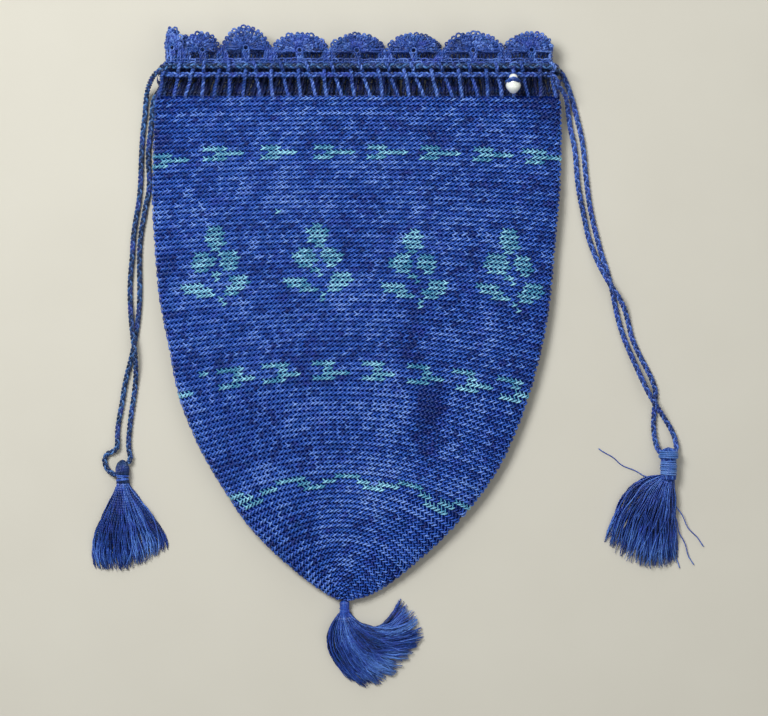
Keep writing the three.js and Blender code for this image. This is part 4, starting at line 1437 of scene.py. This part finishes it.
# A drawstring's run: the front on one row, round one fold, the back on the other row.
def makeRun(name, side, frontRow, backRow, finish):
    halfThick = band["thickness"] / 2
    reach = halfThick + 0.3 + cords["diameter"] / 2
    t = np.linspace(0, 1, 240)
    parts = []
    for row, fromSide, above in ((frontRow, side, 1.0), (backRow, -side, -1.0)):
        half, centre, low = bandShape(row)
        x = centre + fromSide * (half - halfThick) * (1 - 2 * t)
        parts.append((x, bag["mouth"] + row + 0 * t, low + halfThick + above * reach + 0 * t))
    bend = np.linspace(0, 1, 26)[1:-1]
    row = frontRow + (backRow - frontRow) * bend
    half, centre, low = bandShape(row)
    angle = math.pi * (0.5 - bend)
    x = centre - side * (half - halfThick + np.cos(angle) * reach)
    parts.insert(1, (x, bag["mouth"] + row, low + halfThick + np.sin(angle) * reach))
    path = np.concatenate([np.stack(part, axis=1) for part in parts])
    turnOut = np.stack([-side * np.cos(angle), 0 * angle, np.sin(angle)], axis=1)
    over = np.concatenate([np.tile(up, (len(t), 1)), turnOut, np.tile(-up, (len(t), 1))])
    plaitBundle(path, over[None]).piece("plaited_" + name, finish, "silk_cord", [name])


makeRun("left_drawstring_run", -1, band["upperRow"], band["lowerRow"], leftCordSilk)
makeRun("right_drawstring_run", 1, band["lowerRow"], band["upperRow"], rightCordSilk)
print("mouth")

# Tassels

# Place is the neck, and the head's rows count from it. A lock's middle and end are shares
# of the length from the neck, the binding's turns lie from one height to another, and the
# loose threads are points over the table, all in mm.
tassels = {
    "left_tassel": {
        "place": (-84.4, -43.0), "length": 33.5, "height": 5.2, "threads": 300,
        "crimp": 0.35, "even": 1.0, "flare": 1.5,
        "headShade": -0.7, "headSilk": leftCordSilk, "bindingSilk": tasselSilk,
        "head": {
            "up": [6.6, 6.2, 5.2, 3.6, 1.6, 0.2, -1.6],
            "radius": [0.05, 0.9, 1.9, 2.45, 2.4, 1.9, 2.2],
        },
        "middle": [(-.30, -.46), (-.14, -.50), (.03, -.50), (.19, -.45), (.36, -.37)],
        "end": [(-.30, -.98), (-.11, -1.0), (.07, -.99), (.27, -.90), (.51, -.76)],
        "binding": [{"from": -0.5, "to": 0.9, "turns": 3}],
        "loose": [],
    },
    "right_tassel": {
        "place": (112.4, -41.8), "length": 34.0, "height": 6.0, "threads": 310,
        "crimp": 0.4, "even": 1.0, "flare": 1.0,
        "headShade": 0.1, "headSilk": tasselSilk, "bindingSilk": neckSilk,
        "head": {
            "up": [9.9, 9.4, 8.4, 6.6, 5.4, 3.6, 1.2, -1.6],
            "radius": [0.05, 1.6, 3.1, 3.4, 2.5, 2.8, 2.7, 2.6],
        },
        "middle": [(-.44, -.18), (-.3, -.32), (-.17, -.42), (-.04, -.47), (.07, -.42)],
        "end": [(-.67, -.71), (-.51, -.89), (-.24, -1.0), (-.03, -.99), (.12, -.88)],
        "binding": [{"from": 0.4, "to": 4.9, "turns": 7}, {"from": 6.4, "to": 8.4, "turns": 4}],
        "loose": [
            [(111.0, -46.0, 3.4), (112.5, -56.0, 2.6), (114.6, -66.0, 1.2), (116.4, -75.6, 0.4)],
            [(112.0, -47.0, 3.2), (114.8, -57.0, 2.2), (118.0, -66.0, 1.0), (121.6, -74.4, 0.4)],
            [(112.6, -46.0, 3.2), (117.0, -56.0, 1.8), (121.5, -63.0, 0.8), (125.6, -67.6, 0.4)],
            [(111.0, -43.4, 3.4), (106.0, -42.6, 1.4), (97.5, -39.0, 0.5), (87.6, -32.2, 0.4)],
        ],
    },
    "point_tassel": {
        "place": (-4.3, -91.4), "length": 29.0, "height": 5.6, "threads": 500,
        "crimp": 0.3, "even": 0.8, "flare": 1.0,
        "headShade": 0.1, "headSilk": tasselSilk, "bindingSilk": tasselSilk,
        "head": {
            "up": [4.5, 4.3, 3.4, 1.8, 0.6, -1.6],
            "radius": [0.05, 1.0, 1.7, 1.6, 1.5, 2.0],
        },
        "middle": [
            (-.20, -.45), (-.05, -.50), (.09, -.50), (.20, -.47),
            (.30, -.42), (.37, -.35), (.42, -.27), (.40, -.19),
        ],
        "end": [
            (.16, -.93), (.33, -.95), (.49, -.88), (.69, -.72),
            (.87, -.48), (1.0, -.29), (.92, -.06), (.70, .22),
        ],
        "binding": [{"from": 0.2, "to": 1.2, "turns": 3}],
        "loose": [],
    },
}

# What the threads of all three have
hanging = {
    "radius": 0.2,
    "thinEnd": {"from": 0.93, "share": 0.6},
    "shortest": 0.86,  # share of the length
    "locks": 13,
    "gathered": 0.5,  # how far the threads on top draw together into locks
    "astray": 0.05,  # how far a thread bows out of its place, and the few wild ones
    "wild": {"share": 0.1, "reach": 0.22},
    "waves": (1.5, 3.2),
    "ripple": 0.12,
    "hemHeight": 0.4,  # of the heap's sides, mm
    "lowLayer": 0.12,
    "lockShade": 0.7,
    "threadShade": 0.4,
}


# A thread's way over the table: neck, middle and end as one quadratic, with the middles
# and the ends read between the locks. Sideways it goes by t to the power of its flare.
def threadWay(tassel, share, bowed, t):
    locks = np.linspace(0, 1, len(tassel["middle"]))
    neck = 0.9 * tassel["head"]["radius"][-1]
    way = []
    for axis in range(2):
        middle = np.interp(bowed, locks, np.array(tassel["middle"])[:, axis])[:, None]
        end = np.interp(share, locks, np.array(tassel["end"])[:, axis])[:, None]
        begin = ((2 * share - 1) * neck)[:, None] if axis == 0 else 0.0
        s = t ** tassel["flare"] if axis == 0 else t
        bend = 4 * s * (1 - s) * middle + s * (2 * s - 1) * end
        way.append(tassel["place"][axis] + begin * (1 - t) * (1 - 2 * t) + tassel["length"] * bend)
    return np.stack(way, axis=-1)


# Threads lie in a heap: high over the neck, thin at the hem, with a crimp left from
# the twist that they were cut from.
def addThreads(bundle, tassel):
    count = tassel["threads"]
    share = chance.uniform(0, 1, count) ** tassel["even"]
    depth = chance.uniform(0, 1, count)[:, None]
    locks = np.round(share * hanging["locks"]) / hanging["locks"]
    share = np.clip(share + (locks - share) * hanging["gathered"] * depth[:, 0], 0, 1)
    astray = chance.normal(0, hanging["astray"], count)
    isWild = chance.uniform(0, 1, count) < hanging["wild"]["share"]
    astray = astray + np.where(isWild, hanging["wild"]["reach"], 0.0)
    t = np.linspace(0, 1, 12)[None]
    reach = chance.uniform(hanging["shortest"], 1.0, count)[:, None] * t
    flat = threadWay(tassel, share, np.clip(share + astray, 0, 1), reach)
    ahead = unit(np.gradient(flat, axis=1))
    beside = np.stack([-ahead[..., 1], ahead[..., 0]], axis=-1)
    phase = chance.uniform(0, 2 * math.pi, (count, 1))
    waves = chance.uniform(*hanging["waves"], (count, 1))
    sway = tassel["crimp"] * np.sin(2 * math.pi * waves * reach + phase) * np.minimum(1, 2.5 * reach)
    flat = flat + beside * sway[..., None]
    dome = np.sqrt(1 - np.abs(2 * share - 1) ** 3)[:, None]
    full = tassel["height"] * (0.75 + 0.9 * reach - 1.35 * reach**2)
    radius = hanging["radius"]
    layer = hanging["lowLayer"] + (1 - hanging["lowLayer"]) * depth
    z = radius + (hanging["hemHeight"] + dome * (full - hanging["hemHeight"]) - radius) * layer
    ripple = hanging["ripple"] * np.sin(2 * math.pi * waves * 1.7 * reach + phase)
    paths = np.concatenate([flat, np.maximum(z + ripple, radius)[..., None]], axis=-1)
    thinning = np.where(t > hanging["thinEnd"]["from"], hanging["thinEnd"]["share"], 1.0)
    thick = radius * chance.uniform(0.85, 1.2, (count, 1)) * thinning
    lockEdges = 2 * hanging["locks"] + 1
    lockShade = chance.normal(0, hanging["lockShade"], lockEdges)
    # painted shade: threads lower in the heap are darker, as if shaded by those above them; each lock's
    # tone differs at random
    shade = depth[:, 0] * 1.4 - 1.15 + np.interp(share, np.linspace(0, 1, lockEdges), lockShade)
    shade = shade + chance.normal(0, hanging["threadShade"], count)
    bundle.tubes(paths, thick, 3, up, shade=np.clip(shade, -1, 1))


def addLoose(bundle, tassel):
    for way in tassel["loose"]:
        fine = smoothPath(way, 0.8)
        sway = 0.5 * np.sin(np.arange(len(fine)) * 0.55)
        fine[:, 0] += sway * 0.5
        fine[:, 1] += sway * 0.3
        fine[:, 2] = np.maximum(fine[:, 2], hanging["radius"])
        bundle.tubes(fine[None], 0.19, 4, up, shade=0.2)


# Rings round a tassel's own axis: neck + radius (cos turn, height, sin turn).
def headRings(tassel, radius, height, turn):
    x, y = tassel["place"]
    widest = max(tassel["head"]["radius"])
    return np.stack(np.broadcast_arrays(
        x + radius * np.cos(turn), y + height, widest + radius * np.sin(turn),
    ), axis=-1)


def headRadius(tassel, height):
    rows = tassel["head"]
    return np.interp(-height, -np.array(rows["up"]), rows["radius"])


# The head: a core, and threads laid over it from the top to the neck with a slight turn.
def addHead(bundle, tassel):
    rows = tassel["head"]
    height = np.linspace(rows["up"][0], rows["up"][-1], 22)
    radius = headRadius(tassel, height)
    turn = np.linspace(0, 2 * math.pi, 30, endpoint=False)
    bundle.closedSheet(headRings(tassel, 0.9 * radius[:, None], height[:, None], turn[None]), -0.9)
    count = 26
    turn = (np.arange(count) / count * 2 * math.pi)[:, None] + (height - height[0])[None] / 16
    paths = headRings(tassel, (radius - 0.12)[None], height[None], turn)
    over = np.stack([np.cos(turn), 0 * turn, np.sin(turn)], axis=-1)
    shade = np.clip(chance.normal(tassel["headShade"], 0.4, count), -1, 1)
    bundle.tubes(paths, 0.24, 4, over, shade=shade)


# Turns of thread round the head, each a little slanted.
def addBinding(bundle, tassel):
    for facts in tassel["binding"]:
        height = np.linspace(facts["from"], facts["to"], facts["turns"])[:, None]
        turn = np.linspace(0, 2 * math.pi, 26, endpoint=False)[None]
        radius = headRadius(tassel, height) + 0.1
        slant = chance.normal(0, 0.22, height.shape) * np.cos(turn)
        paths = headRings(tassel, radius, height + slant, turn)
        paths[..., 2] = np.maximum(paths[..., 2], 0.35)
        over = np.broadcast_to(towardsMouth, paths.shape)
        bundle.tubes(paths, 0.34, 5, over, closed=True, shade=chance.normal(0.2, 0.3, len(height)))


def makeTassel(name, tassel):
    threads, head, binding = Bundle(), Bundle(), Bundle()
    addThreads(threads, tassel)
    addLoose(threads, tassel)
    addHead(head, tassel)
    addBinding(binding, tassel)
    return [
        threads.piece("threads_of_" + name, tasselSilk, "silk_tassel", [name]),
        head.piece("head_of_" + name, tassel["headSilk"], "silk_tassel"),
        binding.piece("binding_of_" + name, tassel["bindingSilk"], "silk_tassel"),
    ]


tasselPieces = {name: makeTassel(name, tassel) for name, tassel in tassels.items()}
for side in ("left", "right"):
    declareCord(side + "_cord_front")
    declareCord(side + "_cord_back")
print("tassels")

# Bead

bead = {
    "length": 7.3,
    "diameter": 5.4,
    "boreFromTop": 2.5,
    "tilt": 0.4,  # radians
    "post": 24.5,  # how many of the solid's posts stand to its left
    "fromMouth": 0.4,
    "overBand": 0.3,
    # its outline from the round end to the neck: shares of the length and of half the diameter
    "up": [
        -0.32, -0.31, -0.27, -0.2, -0.12, -0.04, 0.04, 0.12, 0.2,
        0.28, 0.36, 0.44, 0.52, 0.58, 0.63, 0.665, 0.68,
    ],
    "radius": [
        0.02, 0.22, 0.42, 0.6, 0.77, 0.91, 0.99, 1, 0.92,
        0.78, 0.66, 0.59, 0.56, 0.51, 0.4, 0.22, 0.02,
    ],
    "rings": 49,
    "sides": 48,
    "thread": {"radius": 0.2, "coil": 0.16, "twist": 1.3},
    # the staple that holds it: across in posts and up as a share of its height
    "staple": [(1, 0), (1, 0.5), (0.98, 0.76), (0.87, 0.95), (0.6, 1)],
    # the loop over its neck: across, up and out from the staple's top, mm
    "loop": [
        (-2.4, -1.0, -2.2), (-2.1, -0.6, -0.6), (-1.3, 0.1, 1.3), (0.0, 0.5, 2.0),
        (1.3, 0.1, 1.3), (2.1, -0.6, -0.6), (2.4, -1.0, -2.2),
    ],
    "loopThreads": [-0.55, 0.0, 0.55],
}


def beadPlace():
    middle = bandPoint(bead["post"] / band["posts"], bead["fromMouth"] + bead["length"] / 2, 0.0)
    front = band["topLift"] + band["thickness"]
    y = bag["mouth"] + bead["fromMouth"] - bead["up"][0] * bead["length"]
    return np.array([middle[0], y, front + bead["overBand"] + bead["diameter"] / 2])


# The drop: its outline turned round an axis that leans up over the drawstring.
def makeBead():
    share = np.linspace(0, 1, bead["rings"])
    known = np.linspace(0, 1, len(bead["up"]))
    height = np.interp(share, known, bead["up"]) * bead["length"]
    radius = np.interp(share, known, bead["radius"]) * bead["diameter"] / 2
    turn = np.linspace(0, 2 * math.pi, bead["sides"], endpoint=False)
    x = np.outer(radius, np.cos(turn))
    z = np.outer(radius, np.sin(turn))
    y = np.broadcast_to(height[:, None], x.shape)
    cos, sin = math.cos(bead["tilt"]), math.sin(bead["tilt"])
    rings = np.stack([x, y * cos - z * sin, y * sin + z * cos], axis=-1)[::-1] + beadPlace()
    bundle = Bundle()
    bundle.closedSheet(rings)
    bundle.piece("white_drop_bead", beadFinish(), "bead_white", ["white_bead"])


# The thread: through the bead and down to the posts beside it, and over its neck.
def makeBeadThread():
    place = beadPlace()
    thread = bead["thread"]
    out = bead["up"][-1] * bead["length"] - bead["boreFromTop"]
    y = place[1] + out * math.cos(bead["tilt"])
    top = place[2] + out * math.sin(bead["tilt"])
    foot = band["topLift"] + band["thickness"] + 0.1
    post = bandFace / band["posts"]
    half = [(across * post, foot + share * (top - foot)) for across, share in bead["staple"]]
    way = [(-x, z) for x, z in half] + half[::-1]
    staple = smoothPath([(place[0] + x, y, z) for x, z in way], 0.25)[None]
    bundle = Bundle()
    for strand in range(2):
        laid = twistedStrand(staple, thread["coil"], thread["twist"], strand / 2, towardsMouth)
        bundle.tubes(laid, thread["radius"], 5, towardsMouth, shade=0.4 * strand)
    loop = smoothPath(np.array(bead["loop"]) + (place[0], y, top), 0.3)[None]
    for shift in bead["loopThreads"]:
        path = loop + np.array([0.0, shift, -0.12 * abs(shift)])
        bundle.tubes(path, 0.3, 5, towardsMouth, shade=shift)
    bundle.piece("bead_sewing_thread", laceSilk, "silk_cord", ["bead_thread"])


makeBead()
makeBeadThread()
print("bead")
